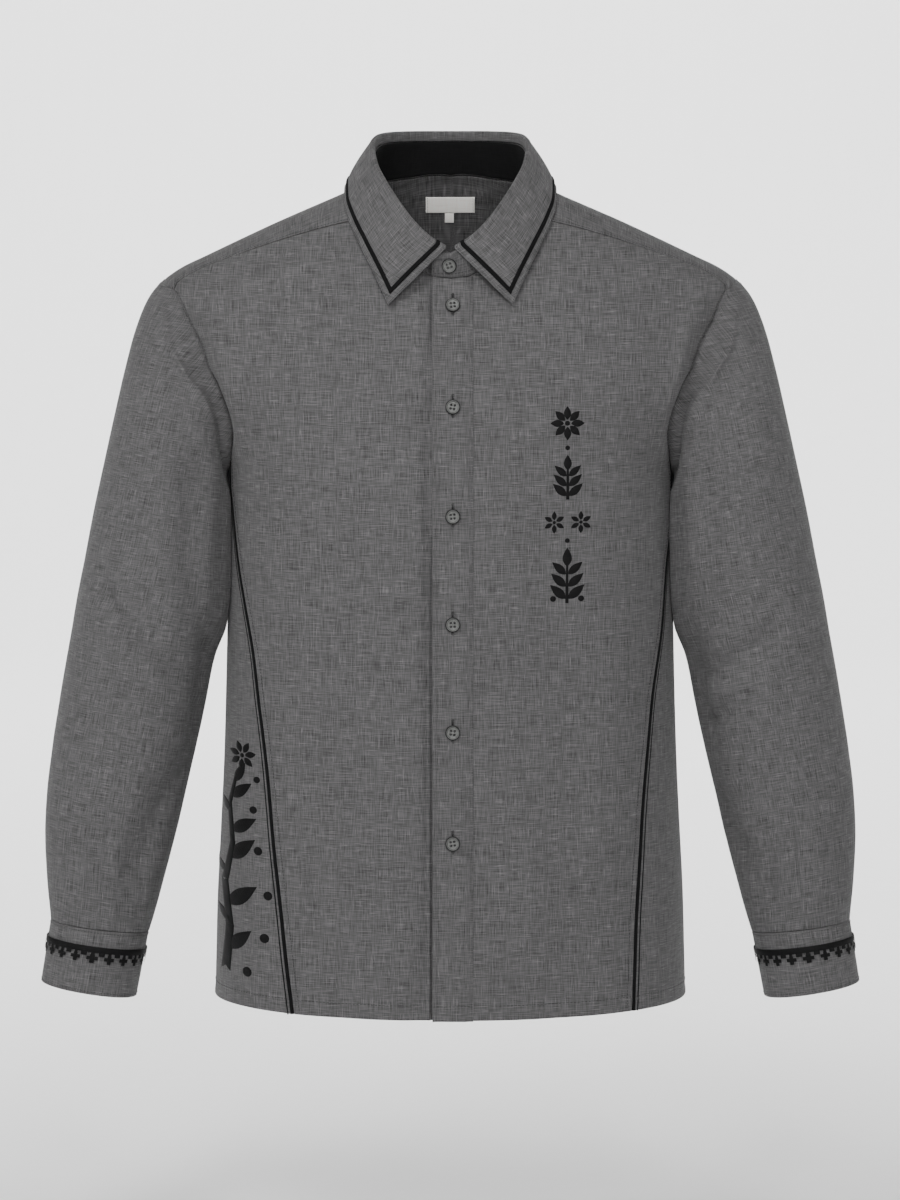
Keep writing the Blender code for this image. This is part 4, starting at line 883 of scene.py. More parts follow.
def cloth(name, node, points, normals, uv, look=(LINEN, "linen"), thick=0.0011,
          wrap=False):
    """Sheet with two skins and rounded edges on a dense grid."""
    stack = crisp(np.concatenate((points, normals, uv), axis=-1))
    if not wrap:
        stack = np.swapaxes(crisp(np.swapaxes(stack, 0, 1)), 0, 1)
    points, normals, uv = stack[..., :3], unit(stack[..., 3:6]), stack[..., 6:8]
    rows, cols = points.shape[:2]
    half = np.full((rows, cols), thick / 2)
    half[[0, -1]] *= 0.45
    if wrap:
        points, normals, half = points[:, :-1], normals[:, :-1], half[:, :-1]
    else:
        half[:, [0, -1]] *= 0.45
    real = points.shape[1]
    outer = points + normals * half[..., None]
    inner = points - normals * half[..., None]
    verts = np.concatenate((outer.reshape(-1, 3), inner.reshape(-1, 3)))
    count = rows * real
    r, c = np.meshgrid(np.arange(rows - 1), np.arange(cols - 1), indexing="ij")
    r, c = r.ravel(), c.ravel()
    corners = ((0, 0), (0, 1), (1, 1), (1, 0))
    around = [(r + down) * real + (c + aside) % real for down, aside in corners]
    around_uv = [uv[r + down, c + aside] for down, aside in corners]
    faces = [np.stack(around, 1), np.stack([around[k] + count for k in (0, 3, 2, 1)], 1)]
    corner_uv = [np.stack(around_uv, 1), np.stack([around_uv[k] for k in (0, 3, 2, 1)], 1)]

    def border(line, uv_line, turned):
        p, q, up, uq = line[:-1], line[1:], uv_line[:-1], uv_line[1:]
        way = -1 if turned else 1
        faces.append(np.stack((p, p + count, q + count, q)[::way], 1))
        corner_uv.append(np.stack((up, up, uq, uq)[::way], 1))

    columns = np.arange(cols) % real
    border(columns, uv[0], False)
    border((rows - 1) * real + columns, uv[-1], True)
    if not wrap:
        starts = np.arange(rows) * real
        border(starts, uv[:, 0], True)
        border(starts + real - 1, uv[:, -1], False)
    mid_r, mid_c = rows // 2, real // 2
    down = points[mid_r + 1, mid_c] - points[mid_r, mid_c]
    across = points[mid_r, (mid_c + 1) % real] - points[mid_r, mid_c]
    way = -1 if np.dot(np.cross(across, down), normals[mid_r, mid_c]) < 0 else 1
    faces, corner_uv = np.concatenate(faces)[:, ::way], np.concatenate(corner_uv)[:, ::way]
    thing = mesh_object(name, verts.tolist(), faces.tolist(), corner_uv)
    finish_piece(thing, *look, (node,))


STITCHES = {"grey": ([], [], []), "light": ([], [], []), "black": ([], [], [])}


def stitches(points, normals, pitch=0.0030, length=0.0021, radius=0.00022, kind="grey", rise=0.00018):
    """Row of thread stitches along a line on the cloth."""
    verts, faces, uvs = STITCHES[kind]
    points = np.asarray(points, float)
    normals = np.broadcast_to(normals, points.shape)
    run = run_of(points)
    for start in np.arange(0.0006, run[-1] - length, pitch):
        at = start + length * np.array((0.0, 0.22, 0.5, 0.78, 1.0))
        line, normal = sample(at, run, points), unit(sample(at, run, normals))
        side = np.cross(unit(line[-1] - line[0]), normal)
        lift = np.array((-0.0003, 0.0, 0.0, 0.0, -0.0003))[:, None] + rise
        size = radius * np.array((0.5, 1.0, 1.0, 1.0, 0.5))[:, None]
        base = len(verts)
        for turn in range(5):
            angle = 2 * np.pi * turn / 5
            ring_points = line + normal * lift + (side * np.cos(angle) + normal * np.sin(angle)) * size
            verts.extend(ring_points.tolist())
        for turn in range(5):
            nxt = (turn + 1) % 5
            for k in range(4):
                faces.append((base + turn * 5 + k, base + turn * 5 + k + 1,
                              base + nxt * 5 + k + 1, base + nxt * 5 + k))
                uvs.extend(((0, at[k]), (0, at[k + 1]), (0.001, at[k + 1]), (0.001, at[k])))
        faces.append(tuple(base + turn * 5 for turn in range(5)))
        faces.append(tuple(base + turn * 5 + 4 for turn in range(4, -1, -1)))
        uvs.extend(((0, 0),) * 10)


# Height of the cloth's face over its middle, and the pulls that shut the seams
SURFACE = 0.00055
CLOSE = 0.00012
SEAM_SHUT = 0.00032
BESIDE_PIPING = PIPING_WIDTH / 2 - 0.0003


# Trunk panels
def groove(flat):
    """Depth of the dent beside the placket on the wearer's right front."""
    below = np.clip((-0.078 - flat[..., 2]) / 0.012, 0, 1)
    return -0.0042 * below * np.exp(-((flat[..., 0] - PLACKET_FROM_X + 0.0007) / 0.0013) ** 2)


def panel(name, node, edges, shows, side=1, origin=0.0, shift=0.0, dented=False, **pulls):
    """Cloth between its top, bottom, left and right edges, given as angle and height."""
    patch = coons(*edges)
    angle, z = patch[..., 0] * side, patch[..., 1]
    flat = pull(on_trunk(angle, z), **pulls)
    points, normals = dress(flat, groove(flat) if dented else 0.0)
    cloth(name, node, points, normals, weave_place(angle, z, origin) + shift)


N_NECK, N_ARM, N_SEAM, N_COLS = 26, 44, 118, 50
for side, seam_table, front_x in ((1, PIPED_SEAM_LEFT, PLACKET_TO_X), (-1, PIPED_SEAM_RIGHT, -UNDERLAP_TO_X)):
    word = "left" if side > 0 else "right"
    seam = seam_line(seam_table)
    neck_start = float(monotone(NECKLINE[:7, 1], NECKLINE[:7, 0], abs(front_x)))
    last_angle = neck_start if side > 0 else -neck_start
    inner_neck = neck_uv(np.linspace(NECK_YOKE_ANGLE, last_angle, 60))
    inner_neck = edge_path(inner_neck, N_NECK)
    plumb_z = np.concatenate((
        np.linspace(inner_neck[-1, 1], -0.205, N_ARM + 1)[1:],
        np.linspace(-0.205, HEM_FRONT_Z, N_SEAM + 1)[1:],
    ))
    plumb = join(angle_of(np.full(len(plumb_z), front_x), plumb_z), plumb_z)
    inner = np.vstack((inner_neck, plumb))
    arm_all = edge_path(ARMHOLE_FRONT[1:8], N_NECK + N_ARM)
    outer = np.vstack((arm_all, edge_path(seam, N_SEAM + 1)[1:]))
    top_share = np.linspace(0, 1, N_COLS + 1)
    if side < 0:
        top_share = np.concatenate((top_share[:4], np.linspace(0.072, 0.205, 56), top_share[11:]))
    top = yoke_seam(top_share)
    hem_angle = inner[-1, 0] * (1 - top_share) + outer[-1, 0] * top_share
    bottom = join(hem_angle, hem_z(hem_angle))
    inner[0], outer[0], inner[-1], outer[-1] = top[0], top[-1], bottom[0], bottom[-1]
    panel("front_panel_" + word, "front_center_" + word, (top, bottom, inner, outer), (0.262, 0.715),
          side, shift=3.0 + side, dented=side < 0, top=SEAM_SHUT, right=BESIDE_PIPING)
    mid_path = edge_path(seam, 240)
    mid = on_trunk(side * mid_path[:, 0], mid_path[:, 1])

    rows = N_SEAM + 1
    arm_part = edge_path(ARMHOLE_FRONT[7:9], 19)
    left_edge = edge_path(seam, rows)
    right_edge = join(np.full(rows, 90.0), np.linspace(UNDERARM_Z, HEM_SIDE_Z, rows))
    side_angle = np.linspace(left_edge[-1, 0], 90.0, 19)
    low = join(side_angle, hem_z(side_angle))
    left_edge[-1] = low[0]
    panel("side_panel_" + word, "front_side_" + word, (arm_part, low, left_edge, right_edge), (0.128, 0.480),
          side, shift=3.3 + side, left=BESIDE_PIPING, right=CLOSE)

    # Piping: a flat black fold lying in the seam, a little proud of the panels
    normal = outward(mid)
    cross = unit(np.cross(normal, np.gradient(mid, axis=0)))
    to_side = cross if np.sum(cross[:, 0]) * side > 0 else -cross
    widths = np.linspace(-1, 1, 7)
    proud = shape_of(mid)[:, None] + 0.0004 + 0.0005 * (1 - widths ** 4)
    grid = mid[:, None] + to_side[:, None] * (widths * PIPING_WIDTH / 2)[:, None]
    grid = grid + normal[:, None] * proud[..., None]
    grid_n = np.repeat(normal[:, None], 7, axis=1)
    run = np.linspace(0, 0.49, len(mid))
    uv = join(*np.meshgrid(widths * 0.002, run))
    cloth("piping_" + word, "seam_piping_" + word, grid, grid_n, uv,
          look=(BLACK, "black_trim"), thick=0.0009)

    # The thin dark welt outboard of the piping and the stitch lines on both sides
    def seam_beside(offset, lift):
        base = mid + to_side * offset
        return base + normal * (shape_of(base) + lift)[:, None]

    across = (-1, -0.4, 0.4, 1)
    welt = [seam_beside(0.0046 + w * 0.00065, SURFACE + 0.00005 + 0.00025 * (1 - w * w)) for w in across]
    verts = np.stack(welt, axis=1).reshape(-1, 3).tolist()
    faces, uvs = [], []
    for k in range(len(mid) - 1):
        for a in range(k * 4, k * 4 + 3):
            faces.append((a, a + 1, a + 5, a + 4))
            uvs.extend(((0, run[k]), (0.001, run[k]), (0.001, run[k + 1]), (0, run[k + 1])))
    thing = mesh_object("welt_" + word, verts, faces, uvs)
    finish_piece(thing, BLACK_THREAD, "black_trim")
    stitches(seam_beside(-0.0072, SURFACE), normal)


# Placket: a folded band on the left front
def placket_spot(x, z, lift=0.0007):
    """Points and normals on the placket's face."""
    x, z = np.broadcast_arrays(np.asarray(x, float), np.asarray(z, float))
    base = on_trunk(angle_of(x, z), z)
    normal = outward(base)
    stepped = PLACKET_TOP_LIFT - 0.0004
    height = 0.0004 + stepped * soft(np.clip((PLACKET_TO_X - x) / 0.009, 0, 1))
    height = height + 0.0010 * np.exp(-((x - PLACKET_FROM_X) / 0.003) ** 2) + lift
    steady = np.maximum(base, np.array((-0.004, -9.0, -9.0)))
    height = height + fold_height(base) + creases(steady) * 0.8
    return base + normal * height[..., None], normal


band_x = PLACKET_FROM_X + (PLACKET_TO_X + 0.0006 - PLACKET_FROM_X) * np.linspace(0, 1, 13) ** 1.5
top_z = monotone(NECKLINE[:, 1], NECKLINE[:, 2], np.abs(band_x)) - 0.0004
band_z = np.linspace(top_z, HEM_FRONT_Z - 0.0006, 150)
wave = 0.00025 * np.sin(band_z * 190 + 0.7) * np.sin(band_z * 71) * (band_x < -0.005)
points, normals = placket_spot(band_x, band_z, wave)
uv = join(band_x + 0.9, band_z)
cloth("placket_band", "button_placket", points, normals, uv, thick=0.0014)
EDGE_ROWS = ((PLACKET_TO_X - 0.0022, -0.075, 0.00018), (PLACKET_FROM_X + 0.0035, -0.078, 0.00016))
for x, top_z, radius in EDGE_ROWS:
    line, line_n = placket_spot(x, np.linspace(top_z, HEM_FRONT_Z + 0.001, 260))
    stitches(line, line_n, kind="light", radius=radius)

# Back panel
rows_arm, rows_side, cols = 44, 118, 90
back_arm = edge_path(ARMHOLE_BACK[1:], rows_arm + 1)
side_z = np.linspace(UNDERARM_Z, HEM_SIDE_Z, rows_side + 1)[1:]
edge = np.vstack((back_arm, join(np.full(rows_side, 90.0), side_z)))
left_edge = join(180 - edge[:, 0], edge[:, 1])
right_edge = join(180 + edge[:, 0], edge[:, 1])
u = np.linspace(0, 1, cols + 1)
top_angle = left_edge[0, 0] * (1 - u) + right_edge[0, 0] * u
top = join(top_angle, np.full(cols + 1, YOKE_BACK_Z))
low_angle = left_edge[-1, 0] * (1 - u) + right_edge[-1, 0] * u
low = join(low_angle, hem_z(low_angle))
panel("back_cloth", "back_panel", (top, low, left_edge, right_edge), (0.620, 0.640), origin=180.0, shift=6.0,
      top=CLOSE, left=CLOSE, right=CLOSE)
top_line = on_trunk(top_angle, np.full(cols + 1, YOKE_BACK_Z + 0.004))
stitches(*dress(top_line, SURFACE))

# Hem stitches all round
HEM_STITCH_RISE = 0.0128
hem_angles = np.linspace(9, 351, 900)
for around, length in ((np.where(hem_angles > 180, hem_angles - 360, hem_angles), 0.0023),
                       (np.linspace(-8.5, -4.8, 20), 0.0021)):
    stitches(*trunk(around, hem_z(around) + HEM_STITCH_RISE, SURFACE), pitch=0.0034, length=length)
line_x = np.linspace(PLACKET_FROM_X, PLACKET_TO_X, 24)
stitches(*placket_spot(line_x, HEM_FRONT_Z + HEM_STITCH_RISE), pitch=0.0034)

# Yoke
neck_half = np.linspace(NECK_YOKE_ANGLE, 180, 76)
front_arm = edge_path(ARMHOLE_FRONT[:2], 10, 1, 0)
tip = on_trunk(front_arm[:, 0], front_arm[:, 1])
back_tip = path(ARMHOLE_BACK[:2], np.linspace(0, 1, 12)[1:], ANGLE_SCALE)
back_corner = on_trunk(180 - back_tip[:, 0], back_tip[:, 1])
back_angles = np.linspace(180 - back_tip[-1, 0], 180, 56)[1:]
back_edge = on_trunk(back_angles, np.full(55, YOKE_BACK_Z))
outer_half = np.vstack((tip, back_corner, back_edge))
inner_half = neck_point(neck_half)
mirror = np.array((-1.0, 1.0, 1.0))
inner_edge = np.vstack((inner_half * mirror, inner_half[-2::-1]))
outer_edge = np.vstack((outer_half * mirror, outer_half[-2::-1]))
rows = 51
v = np.linspace(0, 1, rows)[:, None, None]
plan = inner_edge[None, :, :2] * (1 - v) + outer_edge[None, :, :2] * v
z = height_over(plan[..., 0], plan[..., 1])
z[0], z[-1] = inner_edge[:, 2], outer_edge[:, 2]
yoke_flat = np.concatenate((plan, z[..., None]), axis=-1)
yoke_flat = pull(yoke_flat, bottom=CLOSE, left=SEAM_SHUT, right=SEAM_SHUT)
yoke_points, yoke_normals = dress(yoke_flat, 0.0002)
ridge_z = height_over(plan[..., 0], 0 * z)
uv = join(np.sign(plan[..., 0]) * np.hypot(plan[..., 0], ridge_z) + 2.0,
          np.sign(plan[..., 1]) * np.hypot(plan[..., 1], ridge_z - z))
cloth("yoke_cloth", "yoke", yoke_points, yoke_normals, uv)
for col, nxt in ((0, 1), (-1, -2)):
    seam_pts = yoke_flat[:, col] + square_way(yoke_flat[:, col], yoke_flat[:, nxt]) * 0.0018
    line, line_n = dress(seam_pts, SURFACE + 0.0002)
    stitches(line[2:], line_n[2:], radius=0.00018)

# Armhole seam stitches on the trunk side
for sgn in (1, -1):
    for back in (False, True):
        table = ARMHOLE_BACK if back else ARMHOLE_FRONT
        arm = edge_path(table, 150, 0.02, 0.97)
        arm[:, 0] -= 1.4
        angle = (180 - arm[:, 0]) if back else arm[:, 0]
        line, line_n = trunk(angle * sgn, arm[:, 1], SURFACE + 0.0002)
        stitches(line, line_n, radius=0.00016)

# Stand, its black inside and the fall
stand_angles = np.concatenate((
    np.linspace(STAND_START_ANGLE, 3, 14), np.linspace(3, 341, 143)[1:],
    np.linspace(341, 350, 34)[1:], np.linspace(350, STAND_END_ANGLE, 13)[1:]))
dent = 0.0038 * np.exp(-((stand_angles - 345.9) / 1.7) ** 2)[None, :, None]
neck_middle = np.array((0.0, -0.010, -0.02))
stand = stand_grid(stand_angles, 15, 0.0)
stand_n = grid_normals(stand, away_from=neck_middle)
stand = stand - stand_n * dent
bow = np.sin(np.linspace(0, np.pi, 15))[:, None, None]
stand = stand + stand_n * bow * 0.0006
run = run_of(stand[0])
uv = join(*np.meshgrid(run + 5, np.linspace(0, 0.034, 15)))
cloth("stand_cloth", "collar_stand", stand, stand_n, uv, thick=0.0012)
stitches(stand[2, 1:-1] + stand_n[2, 1:-1] * 0.0006, stand_n[2, 1:-1])
end_curve = stand[2:14, 1] + stand_n[2:14, 1] * 0.0006
stitches(end_curve, stand_n[2:14, 1], radius=0.00018)
facing = stand_grid(stand_angles, 15, CLOTH / 2 + 0.0005 + FACING / 2, low=0.03, high=0.0)
facing_n = grid_normals(facing, away_from=neck_middle)
facing = facing - facing_n * dent
cloth("stand_inside", "collar_stand_facing", facing, facing_n, uv,
      look=(BLACK, "black_trim"), thick=0.0009)

half_count = 60
fall_f = np.linspace(0, 1, half_count + 1)
fall_angles = 3.0 + 177.0 * fall_f
edge_half = path(FALL_EDGE, fall_f)


def fine_column(angle, edge):
    """Dense section of the fall over the roll to the outer edge."""
    place, roll, way = fold_point(angle)
    down = np.array((0.0, 0.0, -1.0))
    r = ROLL_RADIUS
    pts = [place - way * r + down * h for h in np.linspace(roll, r, 5)]
    for turn in np.radians((30, 60, 90, 120, 150)):
        pts.append(place - way * r * np.cos(turn) + down * r * (1 - np.sin(turn)))
    start = place + way * r * 1.12 + down * r * 1.15
    for t in np.linspace(0, 1, 26):
        bulge = way * 0.0022 * np.sin(np.pi * t)
        pts.append(start * (1 - t) + edge * t + bulge)
    return np.array(pts)


columns = []
for side in (-1, 1):
    order = range(half_count + 1) if side < 0 else range(half_count - 1, -1, -1)
    for k in order:
        columns.append(fine_column(side * fall_angles[k], edge_half[k] * np.array((side, 1, 1))))
fall = np.stack(columns, axis=1)
fall_n = grid_normals(fall)
if fall_n[-1, half_count][1] < 0:
    fall_n = -fall_n
uv = join(run_of(fall[20])[None] + 7, run_of(fall))
cloth("collar_cloth", "collar", fall, fall_n, uv, thick=0.0014)

# Rails round the fall at an inset from its free edges
face = fall[6:]
face_n = fall_n[6:]
row_run = run_of(face)
col_run = run_of(face, 1)


def face_at(row, col):
    """Point and normal of the fall between its grid points."""
    r0, c0 = [int(min(max(np.floor(at), 0), most - 2)) for at, most in zip((row, col), face.shape)]
    a, b = row - r0, col - c0
    p, n = [(grid[r0, c0] * (1 - a) + grid[r0 + 1, c0] * a) * (1 - b)
            + (grid[r0, c0 + 1] * (1 - a) + grid[r0 + 1, c0 + 1] * a) * b for grid in (face, face_n)]
    return p, unit(n)


def rail(inset, first=0.3):
    """Line down one front edge, along the outer edge and up the other front edge."""
    rows_n, cols_n = face.shape[:2]

    def row_for(col):
        c0 = int(min(np.floor(col), cols_n - 2))
        b = col - c0
        line = row_run[:, c0] * (1 - b) + row_run[:, c0 + 1] * b
        return np.interp(line[-1] - inset, line, np.arange(rows_n))

    def col_for(row, end):
        r0 = int(min(np.floor(row), rows_n - 2))
        a = row - r0
        line = col_run[r0] * (1 - a) + col_run[r0 + 1] * a
        if end:
            return np.interp(line[-1] - inset, line, np.arange(cols_n))
        return np.interp(inset, line, np.arange(cols_n))

    row, far = rows_n - 1.0, rows_n - 1.0
    for _ in range(14):
        col = col_for(row, False)
        row = row_for(col)
        far_col = col_for(far, True)
        far = row_for(far_col)
    spots = [(r, col_for(r, False)) for r in np.linspace(first, row, 30)]
    spots += [(row_for(c), c) for c in np.linspace(col, far_col, 150)[1:-1]]
    spots += [(r, col_for(r, True)) for r in np.linspace(far, first, 30)]
    return [face_at(*s) for s in spots]


outer_rail, inner_rail = rail(TAPE_INSET - 0.0002, 0.0), rail(TAPE_INSET + TAPE_WIDTH + 0.0003, 0.0)
share = np.linspace(0, 1, 5)[None, :, None]
outer_rail, inner_rail = np.array(outer_rail)[:, :, None], np.array(inner_rail)[:, :, None]
tape, tape_n = [outer_rail[:, k] * (1 - share) + inner_rail[:, k] * share for k in (0, 1)]
tape = tape + tape_n * (0.0011 + 0.0002 * np.sin(np.pi * share))
tape_run = run_of(tape[:, 2])
uv = join(*np.meshgrid(np.linspace(0, TAPE_WIDTH, 5), tape_run))
cloth("tape_ribbon", "collar_tape", tape, tape_n, uv,
      look=(BLACK, "black_trim"), thick=0.0005)
edge_stitch = np.array(rail(0.0014))
stitches(edge_stitch[:, 0], edge_stitch[:, 1], rise=0.0008, radius=0.00017)


# Sleeves: their middle radius and the length between two rings
SLEEVE_RADIUS = 0.058
RING_STEP = 0.0375


def sleeve_grid(theta, stations, side, lift=0.0):
    """Dense grid of one sleeve, as on the wearer's left, with its creases."""
    theta = np.asarray(theta, float)
    grid = np.stack([sleeve_point(theta, s, 0.0016) for s in stations])
    normal = grid_normals(np.concatenate((grid[:, -2:-1], grid, grid[:, 1:2]), axis=1))[:, 1:-1]
    if np.sum(normal * (grid - grid.mean(axis=1, keepdims=True))) < 0:
        normal = -normal
    th, st = np.meshgrid(theta, stations)
    folds = SLEEVE_CREASES + (LEFT_SLEEVE_CREASES if side > 0 else RIGHT_SLEEVE_CREASES)
    around, down = np.radians(th) * SLEEVE_RADIUS, st * RING_STEP
    total = np.zeros(th.shape)
    for line, half, height in folds:
        line = np.asarray(line)
        for turn in (-360.0, 0.0, 360.0):
            bent = join(np.radians(line[:, 0] + turn) * SLEEVE_RADIUS, line[:, 1] * RING_STEP)
            total = total + near_line(around, down, ((bent, half, height),))
    begin = np.clip(st / 0.5, 0, 1)
    rests = np.exp(-(((th % 360) - 180) / 46.0) ** 2) * np.clip((8.6 - st) / 1.5, 0, 1)
    total = total + 0.0005 * np.sin(around * 48 + down * 21) * np.sin(down * 33)
    total = total * begin * (1 - 0.9 * rests)
    near_side = np.exp(-(((th % 360) - 180) / 32.0) ** 2)
    total = total + 0.0042 * near_side * np.clip(st / 0.2, 0, 1) * np.exp(-((st - 0.5) / 0.7) ** 2)
    return grid + normal * (total + lift)[..., None], normal


CUFF_START = 262.0
CUFF_END = 656.0
CUFF_LAP = 62.0
CUFF_ANGLES = np.linspace(CUFF_START, CUFF_END, 190)


def cuff_surface(turns, levels, lift=0.0):
    """Points and normals of the left cuff at angles and levels from its top (0) to its hem (1)."""
    turns = np.asarray(turns, float)
    rows = []
    for v in levels:
        sizes = [a * (1 - v) + b * v for a, b in zip(CUFF_TOP, CUFF_HEM)]
        rows.append(ring(turns, *sizes))
    grid = np.stack(rows)
    n = grid_normals(grid, away_from=grid.mean(axis=1, keepdims=True))
    start = np.clip((CUFF_START + CUFF_LAP - turns) / 26, 0, 1)
    end = np.clip((turns - CUFF_END + CUFF_LAP) / 26, 0, 1)
    lap = (soft(start) - soft(end)) * 0.0011
    return grid + n * (lap[None, :, None] + lift), n


BORDER = ([], [], [])


def lay(outline_fn, us, vs, flip_x):
    """Thin raised patch on a surface: outline_fn maps u and v to a point and a normal."""
    verts, faces, uvs = BORDER
    base = len(verts)
    nu, nv = len(us), len(vs)
    for j, v in enumerate(vs):
        for i, u in enumerate(us):
            p, n = outline_fn(u, v)
            rim = i in (0, nu - 1) or j in (0, nv - 1)
            p = p + n * (0.0001 if rim else 0.00042)
            verts.append((p[0] * flip_x, p[1], p[2]))
    for j in range(nv - 1):
        for i in range(nu - 1):
            a = base + j * nu + i
            quad = (a, a + nu, a + nu + 1, a + 1)
            faces.append(quad if flip_x > 0 else quad[::-1])
            uvs.extend(((us[i], vs[j]),) * 4)


theta = np.linspace(0, 360, 133)
stations = np.concatenate((np.linspace(0, 2.6, 40), np.linspace(2.6, 16, 120)[1:]))
cuff_levels = np.linspace(0, 1, 25)
cuff_grid, cuff_normal = cuff_surface(CUFF_ANGLES, cuff_levels)
for side in (1, -1):
    word = "left" if side > 0 else "right"
    flip = np.array((side, 1.0, 1.0))
    grid, normal = sleeve_grid(theta, stations, side)
    # The sleeve's edge is tucked under the edge of the trunk
    way = unit(grid[2] - grid[0])
    under = armhole_loop(theta)[1]
    tuck = np.stack([grid[0] - way * 0.0042 - under * 0.0011, grid[0] - way * 0.0020 - under * 0.0009])
    grid = np.concatenate((tuck, grid[:1] - under * 0.0003, grid[1:]), axis=0)
    normal = np.concatenate((normal[:1], normal[:1], normal), axis=0)
    # The grain runs along the arm and the crossing threads square to it
    core = grid.mean(axis=1)
    arm_way = unit(core[-1] - core[24])
    across = unit(np.cross((0.0, -1.0, 0.0), arm_way))
    down_run = (grid - core[0]) @ arm_way
    core_run = (core - core[0]) @ arm_way
    core_x = np.interp(down_run, core_run, core @ across)
    beside_core = grid @ across - core_x
    round_run = run_of(grid, 1)
    facing = slice(int(np.argmin(np.abs(theta - 30))), int(np.argmin(np.abs(theta - 150))))
    turn = 1 if beside_core[60, facing][-1] > beside_core[60, facing][0] else -1
    middle = np.array([np.interp(0, turn * x[facing], r[facing]) for x, r in zip(beside_core, round_run)])
    uv = join(round_run - middle[:, None] + 10 + side, down_run)
    cloth("sleeve_cloth_" + word, "sleeve_" + word, grid * flip, normal * flip, uv,
          wrap=True)
    uv = join(*np.meshgrid(np.radians(CUFF_ANGLES) * 0.041 + 14 + side, cuff_levels * 0.058))
    cloth("cuff_cloth_" + word, "cuff_" + word, cuff_grid * flip, cuff_normal * flip, uv,
          thick=0.0013)
    for level in (0.045, 0.955):
        line, line_n = cuff_surface(CUFF_ANGLES[:-2], (level - 0.01, level, level + 0.01), 0.00065)
        stitches(line[1] * flip, line_n[1] * flip, radius=0.00018)

    # Sleeve placket on the back
    turns = 278.0 + np.degrees(np.linspace(-1, 1, 9) * SLEEVE_PLACKET_WIDTH / 2 / 0.048)
    reach = np.linspace(12.7, 15.93, 60)
    strip, strip_n = sleeve_grid(np.concatenate(([turns[0] - 5], turns, [turns[-1] + 5])), reach, side, CLOTH)
    strip, strip_n = strip[:, 1:-1], strip_n[:, 1:-1]
    uv = join(*np.meshgrid(np.linspace(0, 0.022, 9) + 20, np.linspace(0, 0.105, 60)))
    cloth("sleeve_band_" + word, "sleeve_placket_" + word, strip * flip, strip_n * flip, uv,
          thick=0.0009)
    for j in (1, -2):
        stitches(strip[:, j] * flip + strip_n[:, j] * flip * 0.0005, strip_n[:, j] * flip, radius=0.00018)

# Cuff border: a band with crosses that hang on stems and small square teeth between them
CUFF_RADIUS = 0.0405
CUFF_HEIGHT_MM = 58.0
BAND_HALF_MM = 118.0
BAND_TOP, BAND_LOW = 0.255, 0.345
CROSS_PITCH = 13.0


def cuff_spot(u, v):
    """Point and normal on the cuff's face at millimetres round it and a level."""
    turn = 90.0 + np.degrees(u * 0.001 / CUFF_RADIUS)
    p, n = cuff_surface(np.array((turn - 1, turn, turn + 1)), (v - 0.01, v, v + 0.01), 0.00068)
    return p[1, 1], n[1, 1]


def cuff_patch(u0, u1, v0, v1, side, steps=2):
    lay(cuff_spot, np.linspace(u0, u1, steps + 2), np.linspace(v0, v1, 4), side)


for side in (1, -1):
    verts, faces, uvs = BORDER
    base = len(verts)
    levels = (BAND_TOP, BAND_TOP + 0.012, BAND_LOW - 0.012, BAND_LOW)
    turns = 90.0 + np.degrees(np.linspace(-BAND_HALF_MM, BAND_HALF_MM, 161) * 0.001 / CUFF_RADIUS)
    pts, nn = cuff_surface(turns, levels, 0.00068)
    heights = np.array((0.0001, 0.00042, 0.00042, 0.0001))[:, None, None]
    pts = (pts + nn * heights) * np.array((side, 1, 1))
    verts.extend(pts.reshape(-1, 3).tolist())
    for j in range(3):
        for i in range(160):
            a = base + j * 161 + i
            quad = (a, a + 161, a + 162, a + 1)
            faces.append(quad if side > 0 else quad[::-1])
            uvs.extend(((i * 0.0015, j * 0.002),) * 4)
    count = int(BAND_HALF_MM // CROSS_PITCH)
    # Each patch: its middle past the cross, half width, top and foot in millimetres below the band, steps
    cross = ((0.0, 1.25, -0.58, 4.0, 2), (0.0, 4.0, 3.6, 6.6, 4), (0.0, 1.6, 1.8, 9.4, 2),
             (CROSS_PITCH / 2, 2.4, -0.58, 3.0, 2))
    for k in range(-count, count + 1):
        for past, half, top, foot, steps in cross[:4 if k < count else 3]:
            u = k * CROSS_PITCH + past
            v0, v1 = BAND_LOW + top / CUFF_HEIGHT_MM, BAND_LOW + foot / CUFF_HEIGHT_MM
            cuff_patch(u - half, u + half, v0, v1, side, steps)
thing = mesh_object("cuff_embroidery", *BORDER)
finish_piece(thing, BLACK_THREAD, "black_trim")

# Generic embroidery: leaves, petals and dots laid on the front
MOTIF = ([], [], [])


def spot_on(x, z, lift):
    """Point and normal on the front at x and z."""
    angle = angle_of(np.atleast_1d(x), np.atleast_1d(z))
    return trunk(angle, np.atleast_1d(z), SURFACE + lift)


